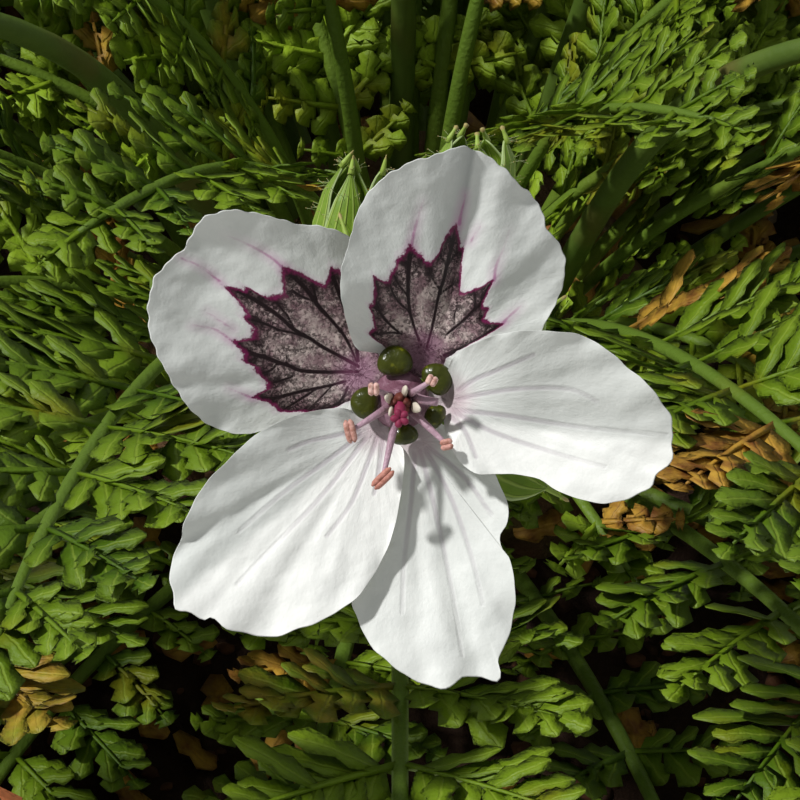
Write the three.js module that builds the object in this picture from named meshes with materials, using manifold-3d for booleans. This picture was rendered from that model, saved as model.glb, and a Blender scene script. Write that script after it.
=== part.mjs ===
// A storksbill in a plain clay pot: ferny fronds in three tiers round a woody crown, and flower stalks that
// carry open blooms, buds and long beaked fruits. Millimetres, +Z up, the origin on the ground under the
// middle of the pot.
import * as THREE from "three";
import { mergeVertices } from "three/addons/utils/BufferGeometryUtils.js";
import Module from "manifold-3d";

const wasm = await Module();
wasm.setup();

// Driving dimensions. Angles are in degrees.

const CLEARANCE = 0.3; // between pieces that touch on the real plant
const ROUND_STEPS = 24; // sides of the pot and its filling
const CROWN_STEPS = 12;

const POT = {
  height: 98,
  rimHeight: 19,
  rimRadius: 56,
  rimStep: 2.5, // how far the rim band stands proud of the wall
  footRadius: 38,
  wall: 5,
  base: 6,
  drainRadius: 7,
  lipRound: 1.5,
  bandSlope: [0.6, 1], // across and up, at the rim band's lower edge
};

const MIX = {
  top: 87,
  swell: 2.2, // how far its surface rises and dips
  rings: [0.82, 0.62], // of the surface, as shares of the pot's inside
};

// Outlines of the crown, from its root's tip up to the mix, and from there to its top: [radius, height].
const CROWN = {
  buried: [[0, 58], [7, 68], [15.2, 77], [19, MIX.top]],
  shown: [[15.6, 92.9], [8.6, 95.7], [0, 96.5]],
};

// One row for each tier of fronds, from the low outer ones to the young upright ones. seat is the distance of
// the petiole's foot from the middle of the crown, petiole the share of the frond before its first leaflets,
// rise and fall the elevations of its first and last stretch, and reach the length of the longest leaflet.
const TIERS = [
  {
    name: "outer", count: 12, first: 0, seat: 15, length: 112, petiole: 0.3,
    rise: 50, fall: -30, pairs: 6, reach: 17,
  },
  {
    name: "middle", count: 8, first: 22.5, seat: 10, length: 90, petiole: 0.34,
    rise: 66, fall: 0, pairs: 6, reach: 15,
  },
  {
    name: "inner", count: 6, first: 0, seat: 5, length: 60, petiole: 0.34,
    rise: 80, fall: 25, pairs: 4, reach: 10,
  },
];

// How much one frond may differ from the rest of its tier, and how much shorter such fronds are on the whole.
const VARIETY = { az: 4, length: 0.04, rise: 4, fall: 9, sway: 10, roll: 10, shorter: 0.93 };

const FROND = {
  socketDepth: 3.5,
  bend: 1.3, // how late along its length a frond bends over
  ribWidth: 1.5,
  ribTaper: 0.45, // share of that width that is gone at the tip
  ribThick: 1.1,
  tipThick: 0.6,
  petioleRings: [0.25, 0.65], // shares of the petiole
  neck: 0.1, // share of the blade between its end and the last leaflet's foot
};

// Leaflets are tridents. lobe, notch and tip give their outline in shares of their length: [along, across].
const LEAFLET = {
  lobe: [0.66, 0.34],
  notch: [0.5, 0.1],
  tip: [1, 0],
  foot: 2, // width where it leaves the rib
  thick: 0.6,
  angle: 64, // between leaflet and rib at the blade's foot
  closing: 14, // how much smaller that angle is at the blade's tip
  lift: 16, // the blade is a shallow V
  droop: 0.1,
  last: 0.72, // length of the one at the end of the blade, against reach
};

// Outline of a blade. Its leaflets' length, against reach, is least plus a part of a sine wave, less a slope.
const BLADE = { least: 0.24, wave: 0.7, from: 0.12, span: 0.78, slope: 0.12 };

// The finest bloom, and the way it faces.
const STAR = { centre: new THREE.Vector3(0, -80, 185), az: -90, el: 52 };

// Outlines of the five petals seen from the front, from one side of the claw to the other. root is the claw's
// azimuth, claw the point that the petal fans out from, and level how far it lies in front of the hindmost. A
// fold runs from the claw along its azimuth, and the side on its left rises towards the viewer.
const PETALS = [
  {
    root: 152, claw: [-1.7, 0.95], level: 0, // upper left, with a blotch
    outline: [
      [-1.3, 1.6], [-1.65, 3.0], [-1.75, 5.2], [-1.9, 7.4], [-3.4, 8.1],
      [-6.1, 8.6], [-8.8, 8.7], [-10.4, 6.8], [-11.6, 4.8], [-11.6, 3.2],
      [-10.1, 0.1], [-8.0, -1.5], [-6.6, -1.5], [-3.9, -0.4], [-2.1, 0.4],
    ],
  },
  {
    root: 66, claw: [0.7, 1.95], level: 1.1, fold: { az: 78.5, slope: 0.32 }, // upper right, with a blotch
    outline: [
      [1.5, 1.9], [3.4, 2.2], [6.9, 3.6], [7.7, 5.4], [6.9, 8.0],
      [6.5, 9.3], [4.8, 10.9], [2.7, 11.8], [0.5, 11.1], [-1.6, 9.5],
      [-2.3, 8.0], [-2.8, 5.0], [-2.4, 3.6], [-1.8, 2.4], [-0.1, 1.95],
    ],
  },
  {
    root: 0, claw: [2.3, 0], level: 2.1, // right
    outline: [
      [2.2, -0.75], [2.5, -2.3], [4.0, -3.4], [5.9, -3.5], [8.0, -4.4],
      [9.7, -4.7], [11.2, -4.2], [12.5, -2.8], [12.6, -1.0], [11.7, 0.6],
      [9.5, 2.4], [7.4, 3.2], [4.9, 3.2], [2.6, 2.1], [2.2, 0.75],
    ],
  },
  {
    root: -68, claw: [0.85, -1.9], level: 0, // bottom
    outline: [
      [0.45, -2.2], [0.05, -3.5], [-0.7, -5.4], [-2.3, -9.4], [-1.7, -10.9],
      [-0.2, -12.5], [1.8, -13.4], [3.0, -12.8], [4.7, -13.0], [4.75, -11.7],
      [5.4, -9.3], [4.7, -6.3], [5.0, -5.1], [3.4, -3.1], [1.4, -1.75],
    ],
  },
  {
    root: -130, claw: [-1.0, -1.3], level: 1.1, // lower left
    outline: [
      [-1.5, -0.8], [-2.6, -0.4], [-4.5, -0.5], [-6.7, -1.5], [-8.8, -3.5],
      [-10.2, -6.3], [-10.7, -8.1], [-10.3, -9.6], [-8.8, -10.2], [-6.0, -10.9],
      [-3.5, -10.1], [-1.4, -8.4], [-0.05, -4.8], [0.2, -2.9], [-0.5, -1.8],
    ],
  },
];

const BLOOM = {
  petalThick: 0.6,
  petalSize: 13, // the distance from the middle that cup and wave are given for
  petalCup: 2.2, // the bloom is a shallow bowl
  petalWave: 0.45,
  petalRows: [0.3, 0.66], // of corners between claw and edge, as shares of the way
  plainRows: [0.4], // the same on the smaller blooms
  levelFrom: 2, // the petals part into their levels between these distances from the middle
  levelTo: 3.2,
  foldFrom: 2.5, // a fold deepens between these distances from the middle
  foldTo: 6,
  hubRadius: 1.3, // the receptacle that the claws grow from
  hubFront: 0.3,
  hubRim: -0.45,
  hubBack: -1,
  clawHalf: 17, // half the angle that a claw takes of the hub
};

// Rings of the gland disc, from its underside up, in the valleys between its cushions and over a cushion:
// [distance from the middle, height above the disc's floor].
const GLANDS = {
  floor: 0.85, // in front of the claws
  angles: [-98, -34, 34, 104, 188], // in the gaps between the claws
  spread: 14, // half the angle that one cushion takes
  shoulder: 0.75, // how far it stands out of the valley at its sides
  valley: [[1.1, 0], [1.1, 0.25], [1, 0.45], [0.7, 0.5]],
  cushion: [[2, 0], [2.3, 0.5], [1.75, 1.1], [0.8, 0.65]],
};

const STAMENS = {
  anthers: [[-1.2, 0.7], [1.5, 0.9], [2.1, -1.9], [-0.8, -3.6], [-2.3, -1.2]], // seen from the front
  height: 3.6,
  near: 2, // past this distance from the middle an anther lies lower
  fall: 0.25, // for each millimetre
  filament: 0.3, // half its width
  knee: [0.6, 0.4, 0.45], // a filament's bend: distance from the middle, its growth with reach, and drop
  anther: [[-0.1, 0.5], [0.6, 0.4]], // from back to tip: distance past the given place, and half width
  style: [[0.9, 1.75], [0.75, 2.4], [0.4, 3], [0.6, 3.8]], // [radius, height]
  stigma: 4.2,
};

const SEPALS = {
  angles: [108, 32, -31, -102, 180],
  outline: [[1.5, 0.95], [4.2, 1.6], [6.8, 0.9], [9.3, 0]], // [distance from the middle, half width]
  front: -1.35,
  thick: 0.6,
  droop: 0.12,
  back: -3.2, // of the swollen end of the pedicel
};

// Outlines of the closed heads: [radius, height above the pedicel].
const CLOSED = {
  bud: [[0, 0], [1.6, 2.4], [1.4, 5.0], [0.45, 7.0], [0, 8.4]],
  calyx: [[0, 0], [1.9, 2.6], [1.5, 4.6], [1.7, 6.6], [0, 7.7]],
  fruit: [[0, 0], [1.5, 2.6], [0.8, 6], [0.45, 24], [0, 30.4]],
};

const STALK = {
  radius: 0.8,
  sides: 4,
  steps: 9,
  straight: 4, // how far it runs straight out of its socket
  knot: 1.4, // where it forks
  pedicelRadius: 0.5,
  pedicelSteps: 3,
  pedicelRun: 4, // how far behind a head its pedicel is in line with it
  pedicelSunk: 0.35, // how deep it ends in the head
  headSides: 6,
  bract: { length: 3.2, radius: 0.7, rise: 25, angles: [20, 140, 260] },
};

// A place given from the middle of the finest bloom: across, up and out along the way it faces.
function fromStar(x, y, z) {
  return new THREE.Vector3(x, y, z).applyMatrix4(headFrame({ at: STAR.centre, ...STAR }));
}

// Where each flower stalk stands, bows out and forks, and what it carries. Blooms face along az and el, and
// closed heads point along them.
const STALKS = [
  {
    name: "star", foot: [0, -11], bow: [0, -24, 130], fork: fromStar(0, -0.6, -14),
    heads: [
      { kind: "bloom", at: STAR.centre, az: STAR.az, el: STAR.el, fine: true },
      { kind: "bud", at: fromStar(-2.7, 3.6, -6.6), az: 92, el: 50 },
      { kind: "calyx", at: fromStar(3.9, 5.2, -6.8), az: 84, el: 50 },
    ],
  },
  {
    name: "left_front", foot: [-7, -6.4], bow: [-21, -13, 134], fork: [-60, -34, 166],
    heads: [
      { kind: "bloom", at: [-70, -40, 176], az: 212, el: 46, size: 0.96, spin: 14 },
      { kind: "bud", at: [-56, -38, 176], az: 240, el: 72 },
    ],
  },
  {
    name: "left_back", foot: [-7.4, 6], bow: [-20, 15, 136], fork: [-43, 38, 180],
    heads: [
      { kind: "bloom", at: [-53, 46, 190], az: 142, el: 42, size: 1.02, spin: -10 },
      { kind: "bud", at: [-33, 45, 192], az: 60, el: 66 },
      { kind: "fruit", at: [-38, 33, 190], az: -30, el: 78 },
    ],
  },
  {
    name: "back", foot: [0, 9], bow: [1, 20, 144], fork: [4, 48, 192],
    heads: [
      { kind: "bloom", at: [5, 59, 201], az: 84, el: 44, size: 0.94, spin: 22 },
      { kind: "bud", at: [-3, 47, 203], az: 180, el: 74 },
    ],
  },
  {
    name: "right_back", foot: [7.4, 6], bow: [20, 12, 138], fork: [52, 32, 178],
    heads: [
      { kind: "bloom", at: [63, 37, 188], az: 26, el: 40, size: 1, spin: -18 },
      { kind: "fruit", at: [49, 39, 189], az: 110, el: 76 },
    ],
  },
  {
    name: "right_front", foot: [7, -6.4], bow: [21, -13, 132], fork: [62, -34, 160],
    heads: [
      { kind: "bloom", at: [72, -42, 170], az: -36, el: 44, size: 0.98, spin: 8 },
      { kind: "bud", at: [58, -38, 172], az: -110, el: 72 },
    ],
  },
];

const FINISHES = {
  clay: { color: 0xb4623a, roughness: 0.85 },
  mix: { color: 0x2c221b, roughness: 0.95 },
  bark: { color: 0x5b4632, roughness: 0.9 },
  leaf: { color: 0x4f7a34, roughness: 0.6 },
  stem: { color: 0x6d8a45, roughness: 0.6 },
  petal: { color: 0xf2f0ee, roughness: 0.55 },
  gland: { color: 0x55691f, roughness: 0.3 },
  stamen: { color: 0xc98fae, roughness: 0.5 },
};

// Small tools

function rad(degrees) {
  return THREE.MathUtils.degToRad(degrees);
}

function vec(p) {
  return p.isVector3 ? p.clone() : new THREE.Vector3(...p);
}

// A draw between -size and size that is the same every time for the same two numbers.
function spread(i, k, size) {
  const x = Math.sin(i * 12.9898 + k * 78.233) * 43758.5453;
  return (2 * (x - Math.floor(x)) - 1) * size;
}

// The unit vector at an azimuth from +X and an elevation.
function towards(az, el) {
  const flat = Math.cos(rad(el));
  return new THREE.Vector3(flat * Math.cos(rad(az)), flat * Math.sin(rad(az)), Math.sin(rad(el)));
}

// A closed skin, gathered face by face, whose parts share their corners.
class Skin {
  constructor() {
    this.corners = [];
    this.index = [];
  }

  add(...points) {
    return points.map((p) => this.corners.push(p.x, p.y, p.z) / 3 - 1);
  }

  face(a, b, c, flipped = false) {
    this.index.push(...(flipped ? [c, b, a] : [a, b, c]));
  }

  // Side faces from one ring of corners to the next, both anticlockwise seen from the far end.
  // Sides that are listed in open are left for something else to grow from.
  wall(from, to, open = []) {
    from.forEach((a, k) => {
      if (open.includes(k)) return;
      const next = (k + 1) % from.length;
      this.face(a, from[next], to[next]);
      this.face(a, to[next], to[k]);
    });
  }

  // The narrow wall of a plate along a line that runs anticlockwise, of pairs of a front and a back corner.
  band(line) {
    line.slice(1).forEach(([front, back], k) => {
      const [lastFront, lastBack] = line[k];
      this.face(lastBack, back, front);
      this.face(lastBack, front, lastFront);
    });
  }

  geometry() {
    const g = new THREE.BufferGeometry();
    g.setAttribute("position", new THREE.Float32BufferAttribute(this.corners, 3));
    return g.setIndex(this.index);
  }
}

// A geometry as a solid that can be joined and cut.
function solid(geometry) {
  const bare = geometry.clone();
  bare.deleteAttribute("normal");
  bare.deleteAttribute("uv");
  const { attributes, index } = mergeVertices(bare, 1e-4);
  const vertProperties = attributes.position.array;
  const triVerts = new Uint32Array(index.array);
  return new wasm.Manifold(new wasm.Mesh({ numProp: 3, vertProperties, triVerts }));
}

// A solid as a geometry, without the slivers that joining leaves.
function geometryOf(body) {
  const { vertProperties, triVerts } = body.simplify(0.01).getMesh();
  const g = new THREE.BufferGeometry();
  g.setAttribute("position", new THREE.BufferAttribute(vertProperties, 3));
  return g.setIndex(new THREE.BufferAttribute(triVerts, 1));
}

function fuse(geometries) {
  return geometryOf(geometries.map(solid).reduce((whole, one) => whole.add(one)));
}

// A rod with few sides along a smooth curve through the points.
function rod(points, radius, sides, steps) {
  const ring = new THREE.Shape();
  for (let k = 0; k < sides; k++) {
    const turn = (2 * Math.PI * k) / sides;
    const [x, y] = [radius * Math.cos(turn), radius * Math.sin(turn)];
    if (k === 0) ring.moveTo(x, y);
    else ring.lineTo(x, y);
  }
  const extrudePath = new THREE.CatmullRomCurve3(points.map(vec));
  return new THREE.ExtrudeGeometry(ring, { steps, extrudePath, bevelEnabled: false });
}

// A solid of revolution about +Z. Its profile runs from the bottom up the outside.
function turned(profile, sides) {
  const points = profile.map(([r, z]) => new THREE.Vector2(r, z));
  return new THREE.LatheGeometry(points, sides).rotateX(Math.PI / 2);
}

// The frame of a head: z along az and el, y as near upright as it can be, turned by spin about z.
function headFrame({ at, az, el, spin = 0, size = 1 }) {
  const z = towards(az, el);
  const x = new THREE.Vector3(0, 0, 1).cross(z).normalize();
  return new THREE.Matrix4()
    .makeBasis(x, z.clone().cross(x), z)
    .setPosition(vec(at))
    .multiply(new THREE.Matrix4().makeRotationZ(rad(spin)))
    .multiply(new THREE.Matrix4().makeScale(size, size, size));
}

// Pot, potting mix and crown

function wallRadius(z) {
  return THREE.MathUtils.mapLinear(z, 0, POT.height, POT.footRadius, POT.rimRadius - POT.rimStep);
}

function pot() {
  const { height, rimRadius, wall, base, drainRadius, footRadius, lipRound, bandSlope } = POT;
  const band = height - POT.rimHeight;
  return turned([
    [drainRadius, 0],
    [footRadius, 0],
    [wallRadius(band), band],
    [rimRadius - bandSlope[0], band + bandSlope[1]],
    [rimRadius, height - lipRound],
    [rimRadius - lipRound, height],
    [wallRadius(height) - wall + lipRound, height],
    [wallRadius(height) - wall, height - lipRound],
    [wallRadius(base) - wall, base],
    [drainRadius, base],
    [drainRadius, 0],
  ], ROUND_STEPS);
}

// The mix fills the pot and closes round the crown's root. Its surface rises and dips a little, and is level
// at the wall and at the crown.
function pottingMix() {
  const inner = (z) => wallRadius(z) - POT.wall - CLEARANCE;
  const floor = POT.base + CLEARANCE;
  const edge = inner(MIX.top);
  const rings = MIX.rings.map((share) => [share * edge, MIX.top]);
  const hole = CROWN.buried.map(([r, z]) => (r > 0 ? [r + CLEARANCE, z] : [r, z - CLEARANCE])).reverse();
  const g = turned([[0, floor], [inner(floor), floor], [edge, MIX.top], ...rings, ...hole], ROUND_STEPS);
  const p = g.attributes.position;
  for (let i = 0; i < p.count; i++) {
    const r = Math.hypot(p.getX(i), p.getY(i));
    const turn = Math.atan2(p.getY(i), p.getX(i));
    const room = THREE.MathUtils.clamp(Math.min(r - hole[0][0], edge - r) / MIX.swell, 0, 1);
    const swell = room * MIX.swell * (0.6 * Math.sin(3 * turn + r / 9) + 0.4 * Math.sin(5 * turn - r / 6));
    if (p.getZ(i) > MIX.top - 0.1) p.setZ(i, p.getZ(i) + swell);
  }
  return g;
}

// Height of the crown's surface at a distance from its axis.
function crownHeight(r) {
  const shown = [CROWN.buried.at(-1), ...CROWN.shown];
  const k = shown.findIndex(([radius]) => radius < r);
  return THREE.MathUtils.mapLinear(r, shown[k - 1][0], shown[k][0], shown[k - 1][1], shown[k][1]);
}

// The woody crown, with a square socket for each petiole and stalk that stands in it.
function crown(sockets) {
  const whole = solid(turned([...CROWN.buried, ...CROWN.shown], CROWN_STEPS));
  return geometryOf(sockets.reduce((rest, socket) => rest.subtract(solid(socket)), whole));
}

// A socket round a stem whose end lies at foot, and which runs out along axis.
function socket(foot, axis, halfWidth) {
  const side = new THREE.Vector3(0, 0, 1).cross(axis).normalize();
  const size = 2 * (halfWidth + CLEARANCE);
  const length = 3 * FROND.socketDepth;
  return new THREE.BoxGeometry(size, size, length)
    .translate(0, 0, length / 2 - CLEARANCE)
    .applyMatrix4(new THREE.Matrix4().makeBasis(side, axis.clone().cross(side), axis).setPosition(foot));
}

// Fronds. A frond is drawn in the plane over +X, and its mesh is turned to its own azimuth.

// The habit of one frond. The outer fronds along X and Y are all alike, so the plant is centred over its pot.
function habit(tier, t, i) {
  const id = 40 * t + i;
  const steady = t === 0 && i % 3 === 0;
  const some = (k, size) => (steady ? 0 : spread(id, k, size));
  return {
    az: tier.first + (360 / tier.count) * i + some(1, VARIETY.az),
    length: tier.length * (steady ? 1 : VARIETY.shorter + some(2, VARIETY.length)),
    rise: tier.rise + some(3, VARIETY.rise),
    fall: tier.fall + some(4, VARIETY.fall),
    sway: some(5, VARIETY.sway),
    roll: some(6, VARIETY.roll),
  };
}

// Where a frond's petiole ends inside the crown, and the way it sets out.
function frondFoot(tier, form) {
  const axis = towards(0, form.rise);
  const seat = new THREE.Vector3(tier.seat, 0, crownHeight(tier.seat));
  return { foot: seat.addScaledVector(axis, -FROND.socketDepth), axis };
}

// The rib's middle line, as a function of the share of its length: the place, the way on, and the blade's
// left and upper side.
function rib(tier, form) {
  const STEPS = 48;
  const { foot, axis } = frondFoot(tier, form);
  const at = foot.addScaledVector(axis, FROND.socketDepth);
  const rows = [];
  for (let k = 0; k <= STEPS; k++) {
    const s = k / STEPS;
    const az = form.sway * s * s;
    const along = towards(az, form.rise + (form.fall - form.rise) * s ** FROND.bend);
    const side = towards(az + 90, 0).applyAxisAngle(along, rad(form.roll) * s);
    rows.push([at.clone(), along, side, along.clone().cross(side)]);
    at.addScaledVector(along, form.length / STEPS);
  }
  return (share) => {
    const x = THREE.MathUtils.clamp(share, 0, 1) * STEPS;
    const k = Math.min(Math.floor(x), STEPS - 1);
    const [place, along, side, up] = rows[k].map((value, n) => value.clone().lerp(rows[k + 1][n], x - k));
    return { at: place, along, side, up };
  };
}

// Length of a leaflet against the longest, from the blade's foot to its tip.
function leafletShare(b) {
  return BLADE.least + BLADE.wave * Math.sin(Math.PI * (BLADE.from + BLADE.span * b)) - BLADE.slope * b;
}

// A leaflet of three lobes. Its root is the four corners that it grows from: upper and lower, rear and front.
// On the rib's right side it is drawn mirrored.
function leaflet(skin, root, { at, axis, front, up }, length, mirrored) {
  const corner = ([along, across], hand, height) =>
    at.clone()
      .addScaledVector(axis, along * length)
      .addScaledVector(front, hand * across * length)
      .addScaledVector(up, height - LEAFLET.droop * along * along * length);
  const { lobe, notch, tip } = LEAFLET;
  const half = LEAFLET.thick / 2;
  const [top, low] = [half, -half].map((height, k) => [
    root[k].rear, root[k].front,
    ...skin.add(corner(lobe, 1, height), corner(notch, 1, height), corner(tip, 0, height)),
    ...skin.add(corner(notch, -1, height), corner(lobe, -1, height)),
  ]);
  for (const [a, b, c] of [[0, 1, 3], [0, 3, 5], [1, 2, 3], [3, 4, 5], [5, 6, 0]]) {
    skin.face(top[a], top[b], top[c], mirrored);
    skin.face(low[c], low[b], low[a], mirrored);
  }
  for (const k of [1, 2, 3, 4, 5, 6]) {
    const next = (k + 1) % 7;
    skin.face(low[k], low[next], top[next], mirrored);
    skin.face(low[k], top[next], top[k], mirrored);
  }
}

function frond(tier, form) {
  const place = rib(tier, form);
  const skin = new Skin();
  const ringAt = ({ at, side, up }, s) => {
    const width = (FROND.ribWidth * (1 - FROND.ribTaper * s)) / 2;
    const thick = THREE.MathUtils.lerp(FROND.ribThick, FROND.tipThick, s) / 2;
    return skin.add(...[[1, 1], [-1, 1], [-1, -1], [1, -1]].map(([x, z]) =>
      at.clone().addScaledVector(side, x * width).addScaledVector(up, z * thick)));
  };

  const start = place(0);
  start.at.addScaledVector(start.along, -FROND.socketDepth);
  let last = ringAt(start, 0);
  skin.face(last[3], last[2], last[1]);
  skin.face(last[3], last[1], last[0]);
  for (const share of FROND.petioleRings.map((x) => x * tier.petiole)) {
    const next = ringAt(place(share), share);
    skin.wall(last, next);
    last = next;
  }

  const blade = 1 - tier.petiole;
  const halfFoot = LEAFLET.foot / 2 / form.length;
  for (let n = 0; n < tier.pairs; n++) {
    const b = n / tier.pairs;
    const s = tier.petiole + blade * b;
    const [rear, front] = [s - halfFoot, s + halfFoot].map((x) => ringAt(place(x), x));
    skin.wall(last, rear);
    skin.wall(rear, front, [1, 3]);
    const { at, along, side, up } = place(s);
    for (const hand of [1, -1]) {
      const angle = rad(LEAFLET.angle - LEAFLET.closing * b);
      const out = side.clone().multiplyScalar(hand).lerp(up, Math.sin(rad(LEAFLET.lift))).normalize();
      const axis = along.clone().multiplyScalar(Math.cos(angle)).addScaledVector(out, Math.sin(angle));
      const across = along.clone().multiplyScalar(Math.sin(angle)).addScaledVector(out, -Math.cos(angle));
      const face = across.clone().cross(axis).multiplyScalar(hand);
      const corners = hand > 0 ? [0, 3] : [1, 2];
      const root = corners.map((k) => ({ rear: rear[k], front: front[k] }));
      leaflet(skin, root, { at, axis, front: across, up: face }, tier.reach * leafletShare(b), hand < 0);
    }
    last = front;
  }

  const neckShare = 1 - FROND.neck * blade;
  const end = place(neckShare);
  const neck = ringAt(end, neckShare);
  skin.wall(last, neck);
  const root = [{ rear: neck[0], front: neck[1] }, { rear: neck[3], front: neck[2] }];
  const forward = { at: end.at, axis: end.along, front: end.side.negate(), up: end.up };
  leaflet(skin, root, forward, LEAFLET.last * tier.reach, false);
  return skin.geometry();
}

// Blooms. A bloom is drawn facing +Z, with its own top towards +Y.

// How far a fold lifts a place.
function foldHeight(x, y, claw, { az, slope }) {
  const left = (y - claw[1]) * Math.cos(rad(az)) - (x - claw[0]) * Math.sin(rad(az));
  const depth = THREE.MathUtils.smoothstep(Math.hypot(x, y), BLOOM.foldFrom, BLOOM.foldTo);
  return depth * slope * Math.max(0, left);
}

// Height of a petal's middle surface. All five follow one waved bowl, and part into their levels just outside
// the claws.
function petalHeight([x, y], { claw, level, fold }) {
  const { levelFrom, levelTo, petalSize, petalCup, petalWave } = BLOOM;
  const far = Math.hypot(x, y);
  const r = far / petalSize;
  const wave = petalWave * r * Math.sin(0.55 * x + 1) * Math.cos(0.5 * y);
  const lift = fold ? foldHeight(x, y, claw, fold) : 0;
  return level * THREE.MathUtils.smoothstep(far, levelFrom, levelTo) + petalCup * r * r + wave + lift;
}

// A petal as a thin waved plate that grows from two corners of the hub, each a front and a back one. Rows of
// corners run round the claw, all between the same two ends, and the last row is the petal's outline.
function petal(skin, shape, [from, to], fine) {
  const { claw, outline } = shape;
  const half = BLOOM.petalThick / 2;
  const pair = (place) => {
    const height = petalHeight(place, shape);
    return skin.add(...[half, -half].map((side) => new THREE.Vector3(...place, height + side)));
  };
  const shown = outline.filter((_, k) => fine || k % 2 === 0);
  const rim = shown.map(pair);
  const rows = (fine ? BLOOM.petalRows : BLOOM.plainRows).map((share) => [
    rim[0],
    ...shown.slice(1, -1).map((point) => pair(point.map((v, n) => claw[n] + share * (v - claw[n])))),
    rim.at(-1),
  ]);
  rows.push(rim);
  const middle = pair(claw);
  for (const face of [0, 1]) {
    const put = (...corners) => skin.face(...corners.map((corner) => corner[face]), face === 1);
    put(from, rim[0], middle);
    put(from, middle, to);
    put(to, middle, rim.at(-1));
    for (let k = 0; k < rim.length - 1; k++) {
      put(middle, rows[0][k], rows[0][k + 1]);
      rows.slice(1).forEach((outer, n) => {
        put(rows[n][k], outer[k], outer[k + 1]);
        put(rows[n][k], outer[k + 1], rows[n][k + 1]);
      });
    }
  }
  skin.band([from, ...rim, to]);
}

// The corolla: a small hub, and five petals in three levels that grow from it.
function petals(fine) {
  const { hubRadius, hubFront, hubRim, hubBack, clawHalf } = BLOOM;
  const skin = new Skin();
  const [front, back] = skin.add(new THREE.Vector3(0, 0, hubFront), new THREE.Vector3(0, 0, hubBack));
  const corners = PETALS.map(({ root }) => [root - clawHalf, root + clawHalf].map((az) => {
    const [x, y] = [hubRadius * Math.cos(rad(az)), hubRadius * Math.sin(rad(az))];
    return skin.add(new THREE.Vector3(x, y, hubFront), new THREE.Vector3(x, y, hubRim));
  }));
  PETALS.forEach((shape, k) => {
    const [from, to] = corners[k];
    const previous = corners[(k + 1) % PETALS.length][1];
    petal(skin, shape, [from, to], fine);
    for (const [a, b] of [[from, to], [previous, from]]) {
      skin.face(front, a[0], b[0]);
      skin.face(back, b[1], a[1]);
    }
    skin.band([previous, from]);
  });
  return skin.geometry();
}

// A point given by its distance from a head's middle, its turn about it and its height.
function around(r, turn, z) {
  return new THREE.Vector3(r * Math.cos(turn), r * Math.sin(turn), z);
}

// Five glossy cushions on one low disc, in front of the claws. Only the finest bloom has all their corners.
function glands(fine) {
  const { floor, angles, spread: halfAngle, shoulder } = GLANDS;
  const spokes = angles.flatMap((angle, k) => {
    const next = angles[k + 1] ?? angles[0] + 360;
    const beside = [-halfAngle, halfAngle].map((turn) => [angle + turn, shoulder]);
    const cushion = fine ? [beside[0], [angle, 1], beside[1]] : [[angle, 1]];
    return [...cushion, [(angle + next) / 2, 0]];
  });
  const skin = new Skin();
  const rings = GLANDS.valley.map((valley, row) => spokes.flatMap(([angle, bulge]) => {
    const [r, z] = valley.map((v, n) => THREE.MathUtils.lerp(v, GLANDS.cushion[row][n], bulge));
    return skin.add(around(r, rad(angle), floor + z));
  })).filter((_, row) => fine || row !== 1);
  rings.slice(1).forEach((ring, k) => skin.wall(rings[k], ring));
  const middle = [0, GLANDS.valley.at(-1)[1]].map((z) => skin.add(around(0, 0, floor + z))[0]);
  spokes.forEach((_, k) => {
    const next = (k + 1) % spokes.length;
    skin.face(middle[0], rings[0][next], rings[0][k]);
    skin.face(middle[1], rings.at(-1)[k], rings.at(-1)[next]);
  });
  return skin.geometry();
}

// The style with its stigma, and five filaments that grow from the sides of its five-sided foot. Each bends
// outwards and ends in a blunt anther.
function stamens(fine) {
  const { anthers, height, near, fall, filament, knee, anther, style, stigma } = STAMENS;
  const turnOf = ([x, y]) => THREE.MathUtils.euclideanModulo(Math.atan2(y, x), 2 * Math.PI);
  const order = anthers.toSorted((a, b) => turnOf(a) - turnOf(b));
  const skin = new Skin();
  const pentagon = ([radius, z]) => skin.add(...order.map((place, n) => {
    const last = n === 0 ? turnOf(order.at(-1)) - 2 * Math.PI : turnOf(order[n - 1]);
    return around(radius, (turnOf(place) + last) / 2, z);
  }));
  const rings = style.map(pentagon);
  const [low, high] = [style[0][1], stigma].map((z) => skin.add(around(0, 0, z))[0]);
  skin.wall(rings[1], rings[2]);
  skin.wall(rings[2], rings[3]);
  order.forEach((place, n) => {
    const next = (n + 1) % order.length;
    skin.face(low, rings[0][next], rings[0][n]);
    skin.face(high, rings[3][n], rings[3][next]);
    const reach = Math.hypot(...place);
    const top = height - fall * Math.max(0, reach - near);
    const rows = [
      [knee[0] + knee[1] * (reach - 1), top - knee[2], filament],
      [reach + anther[0][0] - filament, top, filament],
      ...anther.map(([past, half]) => [reach + past, top, half]),
    ].filter((_, k) => fine || k % 2 === 0);
    let last = [rings[0][n], rings[0][next], rings[1][next], rings[1][n]];
    for (const [r, z, half] of rows) {
      const ring = skin.add(...[[-1, -1], [1, -1], [1, 1], [-1, 1]].map(([across, up]) =>
        new THREE.Vector3(r, across * half, z + up * half)
          .applyAxisAngle(new THREE.Vector3(0, 0, 1), turnOf(place))));
      skin.wall(last, ring);
      last = ring;
    }
    skin.face(last[0], last[1], last[2]);
    skin.face(last[0], last[2], last[3]);
  });
  return skin.geometry();
}

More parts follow.
